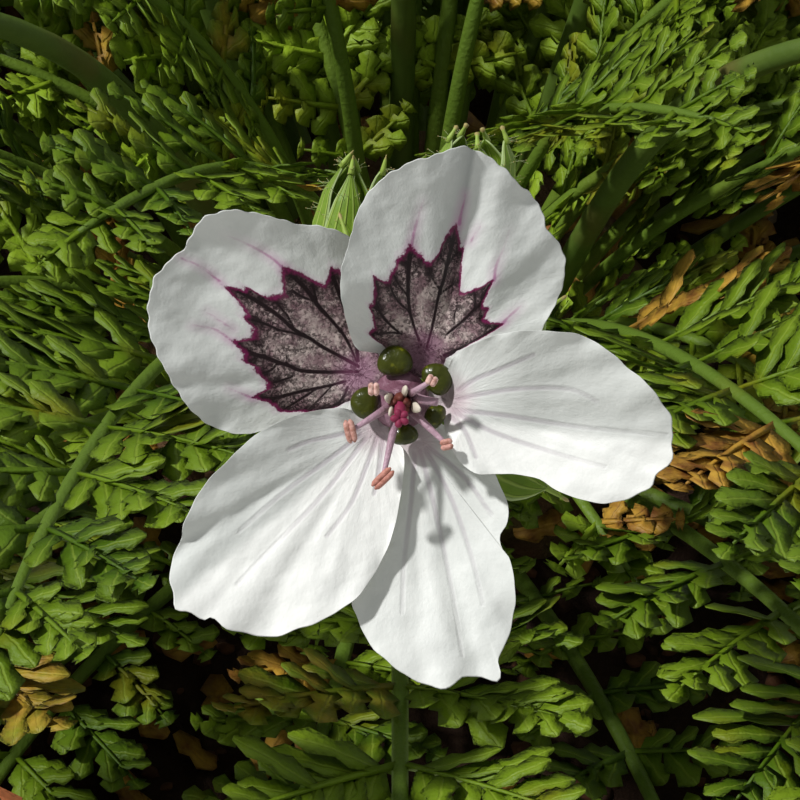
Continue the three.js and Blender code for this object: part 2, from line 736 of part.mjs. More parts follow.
// The green back of a bloom: five sepals that spread behind the petals, on the swollen end of the pedicel.
function calyx(fine) {
  const skin = new Skin();
  const [front, back] = [SEPALS.front, SEPALS.back].map((z) => skin.add(around(0, 0, z))[0]);
  const [valley, ...blade] = SEPALS.outline;
  const shown = fine ? blade : [blade[0], blade.at(-1)];
  const half = [valley, ...shown];
  const outline = [...half, ...half.slice(1, -1).map(([x, w]) => [x, -w]).reverse()];
  const rows = SEPALS.angles.map((angle) => outline.map(([x, w]) => {
    const place = new THREE.Vector3(x, -w, SEPALS.front - SEPALS.droop * (x - valley[0]));
    place.applyAxisAngle(new THREE.Vector3(0, 0, 1), rad(angle));
    return skin.add(place, place.clone().setZ(place.z - SEPALS.thick));
  }));
  const loop = rows.slice().reverse().flat();
  skin.band([...loop, loop[0]]);
  rows.forEach((row, k) => {
    const next = rows[(k + rows.length - 1) % rows.length][0];
    const [start, ...rest] = row;
    for (const face of [0, 1]) {
      const put = (...corners) => skin.face(...corners.map((corner) => corner[face]), face === 1);
      const low = rest.length;
      for (let n = 0; n < low / 2 - 1; n++) {
        const [a, b] = [rest[n], rest[n + 1]];
        const [c, d] = [rest[low - 1 - n], rest[low - 2 - n]];
        put(a, b, c);
        if (b !== d) put(c, b, d);
      }
      put(start, rest[0], next);
      put(next, rest[0], rest.at(-1));
    }
    skin.face(front, start[0], next[0]);
    skin.face(back, next[1], start[1]);
  });
  return skin.geometry();
}

// Flower stalks

// A small pointed bract at the fork, leaning out.
function bract(fork, angle) {
  const { length, radius, rise } = STALK.bract;
  return new THREE.ConeGeometry(radius, length, STALK.sides)
    .rotateX(Math.PI / 2)
    .translate(0, 0, length / 2)
    .applyMatrix4(headFrame({ at: fork, az: angle, el: rise }));
}

// Everything green on one stalk, as one solid.
function stalk(row) {
  const { radius, sides, steps, straight, knot, headSides } = STALK;
  const { foot, axis } = stalkFoot(row);
  const fork = vec(row.fork);
  const path = [foot, foot.clone().addScaledVector(axis, FROND.socketDepth + straight), row.bow, fork];
  const parts = [rod(path, radius, sides, steps)];
  parts.push(new THREE.OctahedronGeometry(knot).translate(...fork.toArray()));
  for (const angle of STALK.bract.angles) parts.push(bract(fork, angle));
  for (const head of row.heads) {
    const frame = headFrame(head);
    const bloom = head.kind === "bloom";
    const back = bloom ? SEPALS.back : 0;
    const ends = [back - STALK.pedicelRun, back + STALK.pedicelSunk];
    const inLine = ends.map((z) => around(0, 0, z).applyMatrix4(frame));
    parts.push(rod([fork, ...inLine], STALK.pedicelRadius, sides, STALK.pedicelSteps));
    parts.push((bloom ? calyx(head.fine) : turned(CLOSED[head.kind], headSides)).applyMatrix4(frame));
  }
  return fuse(parts);
}

// Where a stalk ends inside the crown, and the way it sets out.
function stalkFoot({ foot: [x, y], bow }) {
  const seat = new THREE.Vector3(x, y, crownHeight(Math.hypot(x, y)));
  const axis = vec(bow).sub(seat).normalize();
  return { foot: seat.addScaledVector(axis, -FROND.socketDepth), axis };
}

// The whole plant in its pot

const plant = new THREE.Group();

function piece(name, geometry, finish, parent = plant) {
  const material = new THREE.MeshStandardMaterial({ ...FINISHES[finish], metalness: 0 });
  const mesh = new THREE.Mesh(geometry, material);
  mesh.name = name;
  parent.add(mesh);
  return mesh;
}

piece("pot", pot(), "clay");
piece("potting_mix", pottingMix(), "mix");

const sockets = [];
TIERS.forEach((tier, t) => {
  for (let i = 0; i < tier.count; i++) {
    const form = habit(tier, t, i);
    const mesh = piece(`frond_${tier.name}_${String(i + 1).padStart(2, "0")}`, frond(tier, form), "leaf");
    mesh.rotation.z = rad(form.az);
    mesh.updateMatrix();
    const { foot, axis } = frondFoot(tier, form);
    sockets.push(socket(foot, axis, FROND.ribWidth / 2).applyMatrix4(mesh.matrix));
  }
});

for (const row of STALKS) {
  piece(`stalk_${row.name}`, stalk(row), "stem");
  const { foot, axis } = stalkFoot(row);
  sockets.push(socket(foot, axis, STALK.radius));
  const head = row.heads.find(({ kind }) => kind === "bloom");
  const bloom = new THREE.Group();
  bloom.applyMatrix4(headFrame(head));
  plant.add(bloom);
  piece(`petals_${row.name}`, petals(head.fine), "petal", bloom);
  piece(`glands_${row.name}`, glands(head.fine), "gland", bloom);
  piece(`stamens_${row.name}`, stamens(head.fine), "stamen", bloom);
}

piece("crown", crown(sockets), "bark");

export default plant;
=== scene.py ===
"""A storksbill in a plain clay pot, seen close up on its finest bloom. Sizes are in millimetres and angles in
degrees all through; a mesh is brought to metres as it is made."""

import math

import bpy
import numpy as np
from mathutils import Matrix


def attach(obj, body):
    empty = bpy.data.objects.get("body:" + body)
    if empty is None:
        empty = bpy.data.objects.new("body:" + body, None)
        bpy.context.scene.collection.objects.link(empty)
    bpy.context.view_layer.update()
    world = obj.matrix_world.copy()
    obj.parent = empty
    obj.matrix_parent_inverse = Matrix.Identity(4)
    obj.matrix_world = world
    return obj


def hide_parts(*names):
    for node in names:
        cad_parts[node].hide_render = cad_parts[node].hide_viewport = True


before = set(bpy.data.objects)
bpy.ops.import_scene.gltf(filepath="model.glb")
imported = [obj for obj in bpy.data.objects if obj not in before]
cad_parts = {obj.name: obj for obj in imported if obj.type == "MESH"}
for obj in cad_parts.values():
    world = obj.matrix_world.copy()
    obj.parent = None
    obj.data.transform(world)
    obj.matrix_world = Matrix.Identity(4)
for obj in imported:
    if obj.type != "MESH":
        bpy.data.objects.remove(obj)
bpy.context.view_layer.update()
bpy.ops.object.select_all(action="DESELECT")

# The floor is a plain pale sheet, far wider than the plant, so that no edge of it shows. It only stages the
# plant and is no part of it.
MM = 0.001
FLOOR_SIZE = 6000
FLOOR_COLOUR = (0.62, 0.61, 0.58, 1)

bpy.ops.mesh.primitive_plane_add(size=FLOOR_SIZE * MM)
floor = bpy.context.object
floor.name = "floor"


class Value:
    """A number or colour inside a finish, on which sums are written as plain expressions."""

    def __init__(self, finish, socket):
        self.finish = finish
        self.socket = socket

    def sum(self, operation, *terms):
        return self.finish.node("ShaderNodeMath", {"operation": operation}, dict(enumerate(terms)))

    def __add__(self, other):
        return self.sum("ADD", self, other)

    __radd__ = __add__

    def __sub__(self, other):
        return self.sum("SUBTRACT", self, other)

    def __rsub__(self, other):
        return self.sum("SUBTRACT", other, self)

    def __mul__(self, other):
        return self.sum("MULTIPLY", self, other)

    __rmul__ = __mul__

    def __abs__(self):
        return self.sum("ABSOLUTE", self)

    def fract(self):
        return self.sum("FRACT", self)

    def sine(self):
        return self.sum("SINE", self)

    def most(self, other):
        return self.sum("MAXIMUM", self, other)

    def step(self, low, high):
        """Rises smoothly from 0 at low to 1 at high, or falls where low is the higher."""
        start, end = (0, 1) if low < high else (1, 0)
        edges = {1: min(low, high), 2: max(low, high), 3: start, 4: end}
        settings = {"interpolation_type": "SMOOTHSTEP"}
        return self.finish.node("ShaderNodeMapRange", settings, {0: self, **edges})


class Finish:
    """A material made of nodes."""

    SOCKETS = {
        "plain": "Base Color", "gloss": "Specular IOR Level", "rough": "Roughness", "coat": "Coat Weight",
    }

    def __init__(self, name, **constants):
        self.material = bpy.data.materials.new(name)
        self.material.use_nodes = True
        self.tree = self.material.node_tree
        self.shader = self.tree.nodes["Principled BSDF"]
        for socket, value in constants.items():
            self.shader.inputs[self.SOCKETS[socket]].default_value = value

    def node(self, kind, settings=None, inputs=None, output=0):
        node = self.tree.nodes.new(kind)
        for key, value in (settings or {}).items():
            setattr(node, key, value)
        for key, value in (inputs or {}).items():
            if isinstance(value, Value):
                self.tree.links.new(value.socket, node.inputs[key])
            else:
                node.inputs[key].default_value = value
        return Value(self, node.outputs[output])

    def place(self):
        return self.node("ShaderNodeTexCoord", output="Object")

    def height(self):
        return self.node("ShaderNodeSeparateXYZ", None, {0: self.place()}, "Z")

    def value(self, name):
        """A value that the mesh keeps for each of its corners."""
        return self.node("ShaderNodeAttribute", {"attribute_name": name}, output="Fac")

    def noise(self, size, detail=3, rough=0.55, place=None):
        """Cloudy noise from 0 to 1 with spots of a size in millimetres."""
        inputs = {"Vector": place or self.place(), "Scale": 1 / (size * (1 if place else MM))}
        return self.node("ShaderNodeTexNoise", None, {**inputs, "Detail": detail, "Roughness": rough}, "Fac")

    def cells(self, size, feature="F1", place=None):
        """Distances in a pattern of cells of a size in millimetres."""
        inputs = {"Vector": place or self.place(), "Scale": 1 / (size * MM)}
        return self.node("ShaderNodeTexVoronoi", {"feature": feature}, inputs, "Distance")

    def mix(self, share, low, high):
        inputs = {0: share, 6: low, 7: high}
        return self.node("ShaderNodeMix", {"data_type": "RGBA"}, inputs, 2)

    def colour(self, value):
        self.tree.links.new(value.socket, self.shader.inputs["Base Color"])

    def roughness(self, value):
        self.tree.links.new(value.socket, self.shader.inputs["Roughness"])

    def relief(self, value, depth):
        """Bumps of a depth in millimetres where the value runs from 0 to 1."""
        inputs = {"Height": value, "Distance": depth * MM, "Strength": 1}
        bump = self.node("ShaderNodeBump", None, inputs)
        self.tree.links.new(bump.socket, self.shader.inputs["Normal"])


def rgb(red, green, blue):
    """A colour given as it looks on a screen, from 0 to 255, as the shader needs it."""
    return tuple((c / 255) ** 2.2 for c in (red, green, blue)) + (1,)


paper = Finish("pale_floor", plain=FLOOR_COLOUR, rough=0.8)
floor.data.materials.append(paper.material)


# The camera looks square at the finest bloom, which faces the front and up. The key light stands high on the
# left, small enough for the anthers' shadows to show on the petals, and a pale sky fills in.
STAR = np.array([0, -80, 185.0])
STAR_EL = 52
VIEW_WIDTH = 37.6
VIEW_DISTANCE = 280
SENSOR = 36
KEY_WAY = (-2.8, 0.43, 4.0)
KEY_STRENGTH = 3.5
KEY_SPREAD = 3.5
SKY = (0.97, 1.0, 0.99, 1)
SKY_STRENGTH = 0.33


def rad(degrees):
    return math.radians(degrees)


def towards(az, el):
    """The unit vector at an azimuth from +X and an elevation."""
    level = math.cos(rad(el))
    return np.array([level * math.cos(rad(az)), level * math.sin(rad(az)), math.sin(rad(el))])


camera = bpy.data.objects.new("camera", bpy.data.cameras.new("camera"))
bpy.context.collection.objects.link(camera)
camera.location = (STAR + VIEW_DISTANCE * towards(-90, STAR_EL)) * MM
camera.rotation_euler = (rad(90 - STAR_EL), 0, 0)
camera.data.sensor_width = SENSOR
camera.data.lens = SENSOR * VIEW_DISTANCE / VIEW_WIDTH
camera.data.clip_start = 10 * MM
bpy.context.scene.camera = camera

key = bpy.data.objects.new("key_light", bpy.data.lights.new("key_light", "SUN"))
bpy.context.collection.objects.link(key)
key.data.energy = KEY_STRENGTH
key.data.angle = rad(KEY_SPREAD)
key_length = math.hypot(*KEY_WAY)
key.rotation_euler = (0, math.acos(KEY_WAY[2] / key_length), math.atan2(KEY_WAY[1], KEY_WAY[0]))

world = bpy.data.worlds.new("sky")
bpy.context.scene.world = world
world.use_nodes = True
world.node_tree.nodes["Background"].inputs["Color"].default_value = SKY
world.node_tree.nodes["Background"].inputs["Strength"].default_value = SKY_STRENGTH
bpy.context.scene.view_settings.view_transform = "Standard"


# The pot is thrown clay, fired without a glaze: a wall that widens upwards under a broad rim band, and a hole
# in its base for the water. It is one turned piece with soft corners.
POT_SIDES = 128
POT_HEIGHT = 98
RIM_HEIGHT = 19
RIM_RADIUS = 56
RIM_STEP = 2.5
FOOT_RADIUS = 38
WALL = 5
BASE = 6
DRAIN_RADIUS = 7
POT_BEVEL = 0.8
LIP_ROUND = 1.5
THROWING_PITCH = 2.4
SMOOTH_BELOW = 50


def wall_radius(z):
    return FOOT_RADIUS + (RIM_RADIUS - RIM_STEP - FOOT_RADIUS) * z / POT_HEIGHT


def own(piece, slot, *nodes):
    """Puts a piece on the plant and hides the nodes that it stands for. slot is not used."""
    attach(piece, "root")
    if nodes:
        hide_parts(*nodes)
    return piece


def drawn_up(name, profile, sides):
    """A piece that is drawn out of one ring, from one radius and height to the next."""
    bpy.ops.object.select_all(action="DESELECT")
    radius, z = profile[0]
    bpy.ops.mesh.primitive_circle_add(vertices=sides, radius=radius * MM, location=(0, 0, z * MM))
    piece = bpy.context.object
    piece.name = piece.data.name = name
    bpy.ops.object.transform_apply(location=True)
    bpy.ops.object.mode_set(mode="EDIT")
    for next_radius, next_z in profile[1:]:
        move = {"value": (0, 0, (next_z - z) * MM)}
        bpy.ops.mesh.extrude_region_move(TRANSFORM_OT_translate=move)
        grow = next_radius / radius
        bpy.ops.transform.resize(value=(grow, grow, 1), center_override=(0, 0, next_z * MM))
        radius, z = next_radius, next_z
    bpy.ops.mesh.select_all(action="SELECT")
    bpy.ops.mesh.remove_doubles(threshold=0.01 * MM)
    bpy.ops.mesh.normals_make_consistent(inside=False)
    bpy.ops.object.mode_set(mode="OBJECT")
    return piece


def finished(piece, finish, bevel=0):
    """Softens a piece's corners, shades it smoothly and gives it its finish."""
    bpy.ops.object.select_all(action="DESELECT")
    piece.select_set(True)
    bpy.context.view_layer.objects.active = piece
    if bevel:
        soft = piece.modifiers.new("soft", "BEVEL")
        soft.width = bevel * MM
        soft.segments = 3
        soft.limit_method = "ANGLE"
        bpy.ops.object.modifier_apply(modifier=soft.name)
    bpy.ops.object.shade_smooth_by_angle(angle=rad(SMOOTH_BELOW))
    piece.data.materials.clear()
    piece.data.materials.append(finish.material)
    return piece


clay = Finish("terracotta", gloss=0.25)
throwing = (clay.height() * (2 * math.pi / (THROWING_PITCH * MM)) + clay.noise(30) * 5).sine()
chalk = clay.noise(17, 4, 0.62).step(0.5, 0.72) * clay.height().step(70 * MM, 8 * MM)
damp = clay.noise(26, 3).step(0.42, 0.66) * clay.height().step(20 * MM, 80 * MM)
clay_body = clay.mix(clay.noise(9, 5), rgb(176, 98, 62), rgb(198, 122, 82))
clay_body = clay.mix(damp * 0.55, clay_body, rgb(128, 66, 42))
clay_body = clay.mix(chalk * 0.6, clay_body, rgb(222, 200, 182))
clay.colour(clay.mix(clay.noise(0.6, 2).step(0.62, 0.7) * 0.35, clay_body, rgb(120, 62, 40)))
clay.roughness(clay.noise(5) * 0.2 + 0.72)
clay.relief(clay.noise(0.5, 4) * 0.5 + throwing * 0.12 + clay.noise(6) * 0.6, 0.22)

band = POT_HEIGHT - RIM_HEIGHT
inner_lip = wall_radius(POT_HEIGHT) - WALL
pot = drawn_up("pot_body", [
    (DRAIN_RADIUS, 0.4), (DRAIN_RADIUS + 0.6, 0), (FOOT_RADIUS - 0.8, 0), (FOOT_RADIUS + 0.1, 1),
    (wall_radius(band), band), (RIM_RADIUS - 0.6, band + 1), (RIM_RADIUS, band + 2.6),
    (RIM_RADIUS, POT_HEIGHT - LIP_ROUND), (RIM_RADIUS - LIP_ROUND, POT_HEIGHT),
    (inner_lip + LIP_ROUND, POT_HEIGHT), (inner_lip, POT_HEIGHT - LIP_ROUND),
    (wall_radius(BASE) - WALL, BASE), (DRAIN_RADIUS, BASE), (DRAIN_RADIUS, 0.4),
], POT_SIDES)
own(finished(pot, clay, POT_BEVEL), "terracotta", "pot")


# The potting mix is dark and crumbly, filled in up to below the rim. Bark chips and grit lie on it. It is
# drawn up from one ring like the pot, and its top is then raised into lumps.
MIX_TOP = 87
MIX_SWELL = 2.2
MIX_CRUMB = 0.7
MIX_RINGS = 34
MIX_GAP = 0.3
CROWN_ROOT = 19
CHIPS = 1100
SMALLEST_CHIP, LARGEST_CHIP = 0.4, 1.3
CHIP_MARGIN = 2
MIX_EDGE = wall_radius(MIX_TOP) - WALL - MIX_GAP


def spread(i, k, size):
    """A draw between -size and size, always the same for the thing's number i and the draw's number k."""
    x = math.sin(i * 12.9898 + k * 78.233) * 43758.5453
    return (2 * (x - math.floor(x)) - 1) * size


def swell(x, y):
    """How far the mix's surface rises or dips at a place."""
    r = np.hypot(x, y)
    turn = np.arctan2(y, x)
    room = np.clip(np.minimum(r - CROWN_ROOT, MIX_EDGE - r) / MIX_SWELL, 0, 1)
    return room * MIX_SWELL * (0.6 * np.sin(3 * turn + r / 9) + 0.4 * np.sin(5 * turn - r / 6))


def crumbs(x, y):
    """Small lumps of the mix."""
    lumps = np.sin(2.1 * x + 1.3 * np.sin(1.7 * y)) * np.sin(1.9 * y + 1.1 * np.sin(2.3 * x))
    fine = np.sin(5.3 * x + 2 * np.sin(4.1 * y)) * np.sin(4.7 * y + 2 * np.sin(3.9 * x))
    return MIX_CRUMB * (0.6 * lumps + 0.4 * fine)


def corners_of(piece):
    corners = np.empty(len(piece.data.vertices) * 3)
    piece.data.vertices.foreach_get("co", corners)
    return corners.reshape(-1, 3) / MM


def set_corners(piece, corners):
    piece.data.vertices.foreach_set("co", (corners * MM).ravel())
    piece.data.update()


compost = Finish("potting_mix", gloss=0.2, rough=0.95)
dark_mix = compost.mix(compost.noise(2.2, 5, 0.65), rgb(26, 19, 14), rgb(74, 55, 41))
compost.colour(compost.mix(compost.cells(0.7).step(0.1, 0.5), dark_mix, rgb(52, 38, 29)))
compost.relief(compost.noise(0.8, 5, 0.7), 0.8)

inner_floor = BASE + MIX_GAP
ring_radii = np.linspace(MIX_EDGE, 3, MIX_RINGS)
mix_profile = [(0.5, inner_floor), (wall_radius(inner_floor) - WALL - MIX_GAP, inner_floor)]
mix = drawn_up("compost", mix_profile + [(r, MIX_TOP) for r in ring_radii], POT_SIDES)
corners = corners_of(mix)
on_top = corners[:, 2] > MIX_TOP - 0.1
x, y = corners[on_top, 0], corners[on_top, 1]
corners[on_top, 2] += swell(x, y) + crumbs(x, y) * np.clip((MIX_EDGE - np.hypot(x, y)) / 3, 0, 1)
set_corners(mix, corners)
own(finished(mix, compost), "potting_mix", "potting_mix")


class Heap:
    """Parts that are gathered for one mesh: corners, faces, and named values for the corners."""

    def __init__(self):
        self.parts = []

    def add(self, corners, faces, **values):
        self.parts.append((np.asarray(corners, float), faces, values))

    def turned(self, az):
        """Turns all its parts about the plant's axis."""
        self.parts = [(turned_about((0, 0, 1), rad(az), corners), faces, values)
                      for corners, faces, values in self.parts]
        return self

    def piece(self, name, finish, slot, *nodes):
        all_corners = np.concatenate([corners for corners, _, _ in self.parts])
        all_faces, kept = [], {}
        count = 0
        for corners, faces, values in self.parts:
            all_faces.extend([corner + count for corner in face] for face in faces)
            for key, value in values.items():
                kept.setdefault(key, []).append(np.broadcast_to(value, len(corners)))
            count += len(corners)
        mesh = bpy.data.meshes.new(name)
        mesh.from_pydata((all_corners * MM).tolist(), [], all_faces)
        for key, shares in kept.items():
            attribute = mesh.attributes.new(key, "FLOAT", "POINT")
            attribute.data.foreach_set("value", np.concatenate(shares).astype(np.float32))
        mesh.shade_smooth()
        mesh.materials.append(finish.material)
        made = bpy.data.objects.new(name, mesh)
        bpy.context.collection.objects.link(made)
        return own(made, slot, *nodes)


def as_pattern(made):
    """Takes the corners and faces of a shape as a pattern, and clears the shape away."""
    corners = np.array([v.co[:] for v in made.data.vertices])
    faces = [list(p.vertices) for p in made.data.polygons]
    bpy.data.objects.remove(made)
    return corners, faces


def unit(way):
    return np.asarray(way, float) / np.linalg.norm(way)


def turned_about(axis, angle, points):
    """Points turned about an axis through the origin, by an angle in radians."""
    axis = unit(axis)
    points = np.asarray(points, float)
    along = points @ axis
    return (points * math.cos(angle) + np.cross(axis, points) * math.sin(angle)
            + np.multiply.outer(along, axis) * (1 - math.cos(angle)))


grit = Finish("bark_chips", gloss=0.25, rough=0.9)
tone = grit.value("tone")
bark_chip = grit.mix(tone.step(0.0, 0.55), rgb(30, 21, 15), rgb(92, 62, 42))
chip_colour = grit.mix(tone.step(0.92, 0.95), bark_chip, rgb(150, 132, 112))
grit.colour(grit.mix(grit.noise(0.7, 4).step(0.35, 0.65) * 0.4, chip_colour, rgb(60, 42, 30)))
grit.relief(grit.noise(0.35, 4), 0.12)

bpy.ops.object.select_all(action="DESELECT")
bpy.ops.mesh.primitive_ico_sphere_add(subdivisions=1, radius=1)
lump_corners, lump_faces = as_pattern(bpy.context.object)
chips = Heap()
for i in range(CHIPS):
    r = math.sqrt(0.5 + spread(i, 1, 0.5)) * (MIX_EDGE - CHIP_MARGIN)
    turn = spread(i, 2, math.pi)
    size = SMALLEST_CHIP + (LARGEST_CHIP - SMALLEST_CHIP) * (0.5 + spread(i, 3, 0.5)) ** 2.5
    flat = np.array([1 + spread(i, 4, 0.3), 0.75 + spread(i, 5, 0.25), 0.42 + spread(i, 6, 0.2)])
    shape = lump_corners * flat * size * (1 + 0.25 * np.sin(lump_corners @ [3.1, 4.7, 2.3] + i))[:, None]
    shape = turned_about((1, spread(i, 7, 1), 0), spread(i, 8, 0.6), shape)
    shape = turned_about((0, 0, 1), spread(i, 9, math.pi), shape)
    px, py = r * math.cos(turn), r * math.sin(turn)
    level = MIX_TOP + swell(px, py) + crumbs(px, py) * 0.5
    chips.add(shape + [px, py, level + size * 0.15], lump_faces, tone=0.5 + spread(i, 10, 0.5))
chips.piece("bark_chips", grit, "potting_mix")


# The crown is a woody stock on its root, and stands a little out of the mix. It is drawn up as one turned
# piece, and its bark is ridged where it shows.
CROWN_SIDES = 72
CROWN_BURIED = [(0.4, 58), (7, 68), (15.2, 77), (CROWN_ROOT, MIX_TOP)]
CROWN_SHOWN = [(15.6, 92.9), (8.6, 95.7), (0, 96.5)]
RIDGES_FROM = MIX_TOP - 4


def crown_height(r):
    """Height of the crown's surface at a distance from its axis."""
    shown = [CROWN_BURIED[-1], *CROWN_SHOWN]
    k = next(n for n, (radius, _) in enumerate(shown) if radius < r)
    (r0, z0), (r1, z1) = shown[k - 1], shown[k]
    return z0 + (r - r0) / (r1 - r0) * (z1 - z0)


bark = Finish("crown_bark", gloss=0.2, rough=0.9)
bark_colour = bark.mix(bark.noise(1.8, 5, 0.7), rgb(58, 41, 29), rgb(128, 98, 70))
bark.colour(bark.mix(bark.noise(6, 3).step(0.5, 0.7) * 0.5, bark_colour, rgb(92, 96, 50)))
bark.relief(bark.noise(1.1, 5, 0.7), 0.9)

crown_profile = CROWN_BURIED + [(17.6, 90), *CROWN_SHOWN[:2], (4, 96.3), (0.3, 96.5)]
crown = drawn_up("crown_stock", crown_profile, CROWN_SIDES)
corners = corners_of(crown)
turn = np.arctan2(corners[:, 1], corners[:, 0])
ridges = 1 + 0.02 * np.sin(11 * turn) + 0.014 * np.sin(23 * turn + corners[:, 2])
corners[:, :2] *= np.where(corners[:, 2] > RIDGES_FROM, ridges, 1)[:, None]
set_corners(crown, corners)
own(finished(crown, bark), "crown_bark", "crown")


# The fronds are soft ferny leaves in three tiers round the crown: the outer ones arch down over the rim, the
# inner ones stand up. Each has a stalked rib with pairs of leaflets, cut into small blunt toothed lobes, and
# its foot is sunk into the top of the crown.
TIERS = [
    {"name": "outer", "count": 12, "first": 0, "seat": 15, "length": 112, "petiole": 0.3,
     "rise": 50, "fall": -30, "pairs": 10, "reach": 17},
    {"name": "middle", "count": 8, "first": 22.5, "seat": 10, "length": 90, "petiole": 0.34,
     "rise": 66, "fall": 0, "pairs": 10, "reach": 15},
    {"name": "inner", "count": 6, "first": 0, "seat": 5, "length": 60, "petiole": 0.34,
     "rise": 80, "fall": 25, "pairs": 8, "reach": 10},
]
VARIETY = {"az": 4, "length": 0.04, "rise": 4, "fall": 9, "sway": 10, "roll": 10, "shorter": 0.93}
# Sizes of the rib, of the leaflets along it, and of the lobes along each leaflet.
RIB_BEND = 1.3
RIB_STEPS = 48
RIB_POINTS = 34
RIB_END = 0.985
RIB_WIDTH = 1.25
RIB_FOOT = 1.2
RIB_TAPER = 0.45
RIB_TIP, RIB_TIP_TAPER = 0.9, 5
RIB_FLAT = 0.75
RIB_SIDES = 8
RIB_SUNK = 3
LEAFLET_ANGLE = 64
LEAFLET_CLOSING = 14
LEAFLET_LIFT = 16
LEAFLET_DROOP = 0.1
LEAFLET_LAST = 0.72
LEAFLET_END = 0.96
LEAFLET_RIB = np.linspace(0.32, 0.12, 5)
LOBES_FROM, LOBES_RUN = 0.12, 0.84
LOBE_SPACING = 1.85
LOBE_SHARE = 0.38
LOBE_ANGLE = 46
LOBE_WIDTH = 1.08
LOBE_THICK = 0.1
LOBE_FOLD = 0.16
UNDERSIDE = -0.5
# A lobe's stations from foot to tip: the share of its length, and of its half width.
LOBE_EDGE = [(0, 0.36), (0.36, 1.02), (0.52, 0.6), (0.8, 1), (1, 0.24)]
# Where withered leaflets show past the finest bloom, in its own plane: across, up, how wide.
WITHERED = [
    (-14.0, 7.5, 1.5), (-17.2, -14.1, 3.0), (-4.8, -12.7, 1.0), (-15.1, -17.4, 1.3), (-13.3, 16.5, 1.4),
    (-2.4, 14.1, 1.0), (15.2, 5.9, 1.2), (18.0, 7.0, 1.2), (18.2, 2.8, 1.1), (-6.9, 18.6, 1.2),
    (11.2, -5.4, 0.9), (15.1, -2.4, 1.0), (10.2, 11.3, 1.4),
]
WITHERED_MOST = 0.85
WITHERED_FADE = 0.45


def leaflet_share(b):
    """Length of a leaflet against the longest, from the blade's foot to its tip."""
    return 0.24 + 0.7 * math.sin(math.pi * (0.12 + 0.78 * b)) - 0.12 * b


def habit(tier, t, i):
    """The turn, length and bend of one frond. Every third outer one keeps to the tier's own sizes."""
    number = 40 * t + i
    steady = t == 0 and i % 3 == 0

    def draw(k, key):
        return 0 if steady else spread(number, k, VARIETY[key])

    return {
        "number": number, "fresh": 0,
        "az": tier["first"] + 360 / tier["count"] * i + draw(1, "az"),
        "length": tier["length"] * (1 if steady else VARIETY["shorter"] + draw(2, "length")),
        "rise": tier["rise"] + draw(3, "rise"),
        "fall": tier["fall"] + draw(4, "fall"),
        "sway": draw(5, "sway"),
        "roll": draw(6, "roll"),
    }


def rib_rows(tier, form):
    """The rib's middle line over +X: its places, ways on, and the blade's left and upper sides."""
    at = np.array([tier["seat"], 0, crown_height(tier["seat"])])
    rows = []
    for k in range(RIB_STEPS + 1):
        s = k / RIB_STEPS
        az = form["sway"] * s * s
        along = towards(az, form["rise"] + (form["fall"] - form["rise"]) * s ** RIB_BEND)
        side = turned_about(along, rad(form["roll"]) * s, towards(az + 90, 0))
        rows.append((at, along, side, np.cross(along, side)))
        at = at + along * form["length"] / RIB_STEPS
    return [np.array(column) for column in zip(*rows)]


def on_rib(rows, share):
    """The place, way on, left and upper side at a share of the rib's length."""
    x = min(max(share, 0), 1) * (len(rows[0]) - 1)
    k = min(int(x), len(rows[0]) - 2)
    return [column[k] + (column[k + 1] - column[k]) * (x - k) for column in rows]


def tube(points, radii, sides, flat=1, up=(0, 0, 1)):
    """A closed rod along points, with a radius at each. flat is its height over its width."""
    points = np.asarray(points, float)
    ways = np.gradient(points, axis=0)
    ways /= np.linalg.norm(ways, axis=1)[:, None]
    side = np.cross(up, ways[0])
    if np.linalg.norm(side) < 0.05:
        side = np.cross((1, 0, 0), ways[0])
    turns = 2 * np.pi * np.arange(sides) / sides
    rings = []
    for point, way, radius in zip(points, ways, np.broadcast_to(radii, len(points))):
        side = unit(side - way * (side @ way))
        over = np.cross(way, side)
        ring = np.outer(np.cos(turns), side) + flat * np.outer(np.sin(turns), over)
        rings.append(point + radius * ring)
    corners = np.concatenate([*rings, [points[0], points[-1]]])
    foot, end = len(points) * sides, len(points) * sides + 1
    last = (len(points) - 1) * sides
    faces = []
    for k in range(sides):
        turn = (k + 1) % sides
        for base in range(0, last, sides):
            a, b = base + k, base + turn
            faces.append([a, b, b + sides, a + sides])
        faces.append([foot, turn, k])
        faces.append([end, last + k, last + turn])
    return corners, faces


def lobe_pattern():
    """The corners and faces of one lobe along +X, a unit long and about a unit wide to each side."""
    corners = []
    for share, half in LOBE_EDGE:
        corners += [(share, half, 0), (share, 0, -LOBE_FOLD * half), (share, -half, 0), (share, 0, UNDERSIDE)]
    faces = [[0, 3, 2, 1]]
    for n in range(len(LOBE_EDGE) - 1):
        base = 4 * n
        for k in range(4):
            turn = (k + 1) % 4
            faces.append([base + k, base + turn, base + 4 + turn, base + 4 + k])
    last = 4 * (len(LOBE_EDGE) - 1)
    faces.append([last, last + 1, last + 2, last + 3])
    return np.array(corners), faces


LOBE, LOBE_FACES = lobe_pattern()


def lobe(heap, at, way, left, length, width, curl, **values):
    """Lays one lobe: its foot, the way it points, its left side, and how far its tip bends down."""
    share, aside, low = LOBE.T
    depth = np.where(low <= UNDERSIDE, -LOBE_FOLD * width - LOBE_THICK, low * width)
    depth = depth * (1 - 0.8 * share ** 3) - curl * length * share ** 2
    corners = (at + np.outer(share * length, way) + np.outer(aside * width, left)
               + np.outer(depth, np.cross(way, left)))
    heap.add(corners, LOBE_FACES, tip=share, side=np.sign(aside), **values)


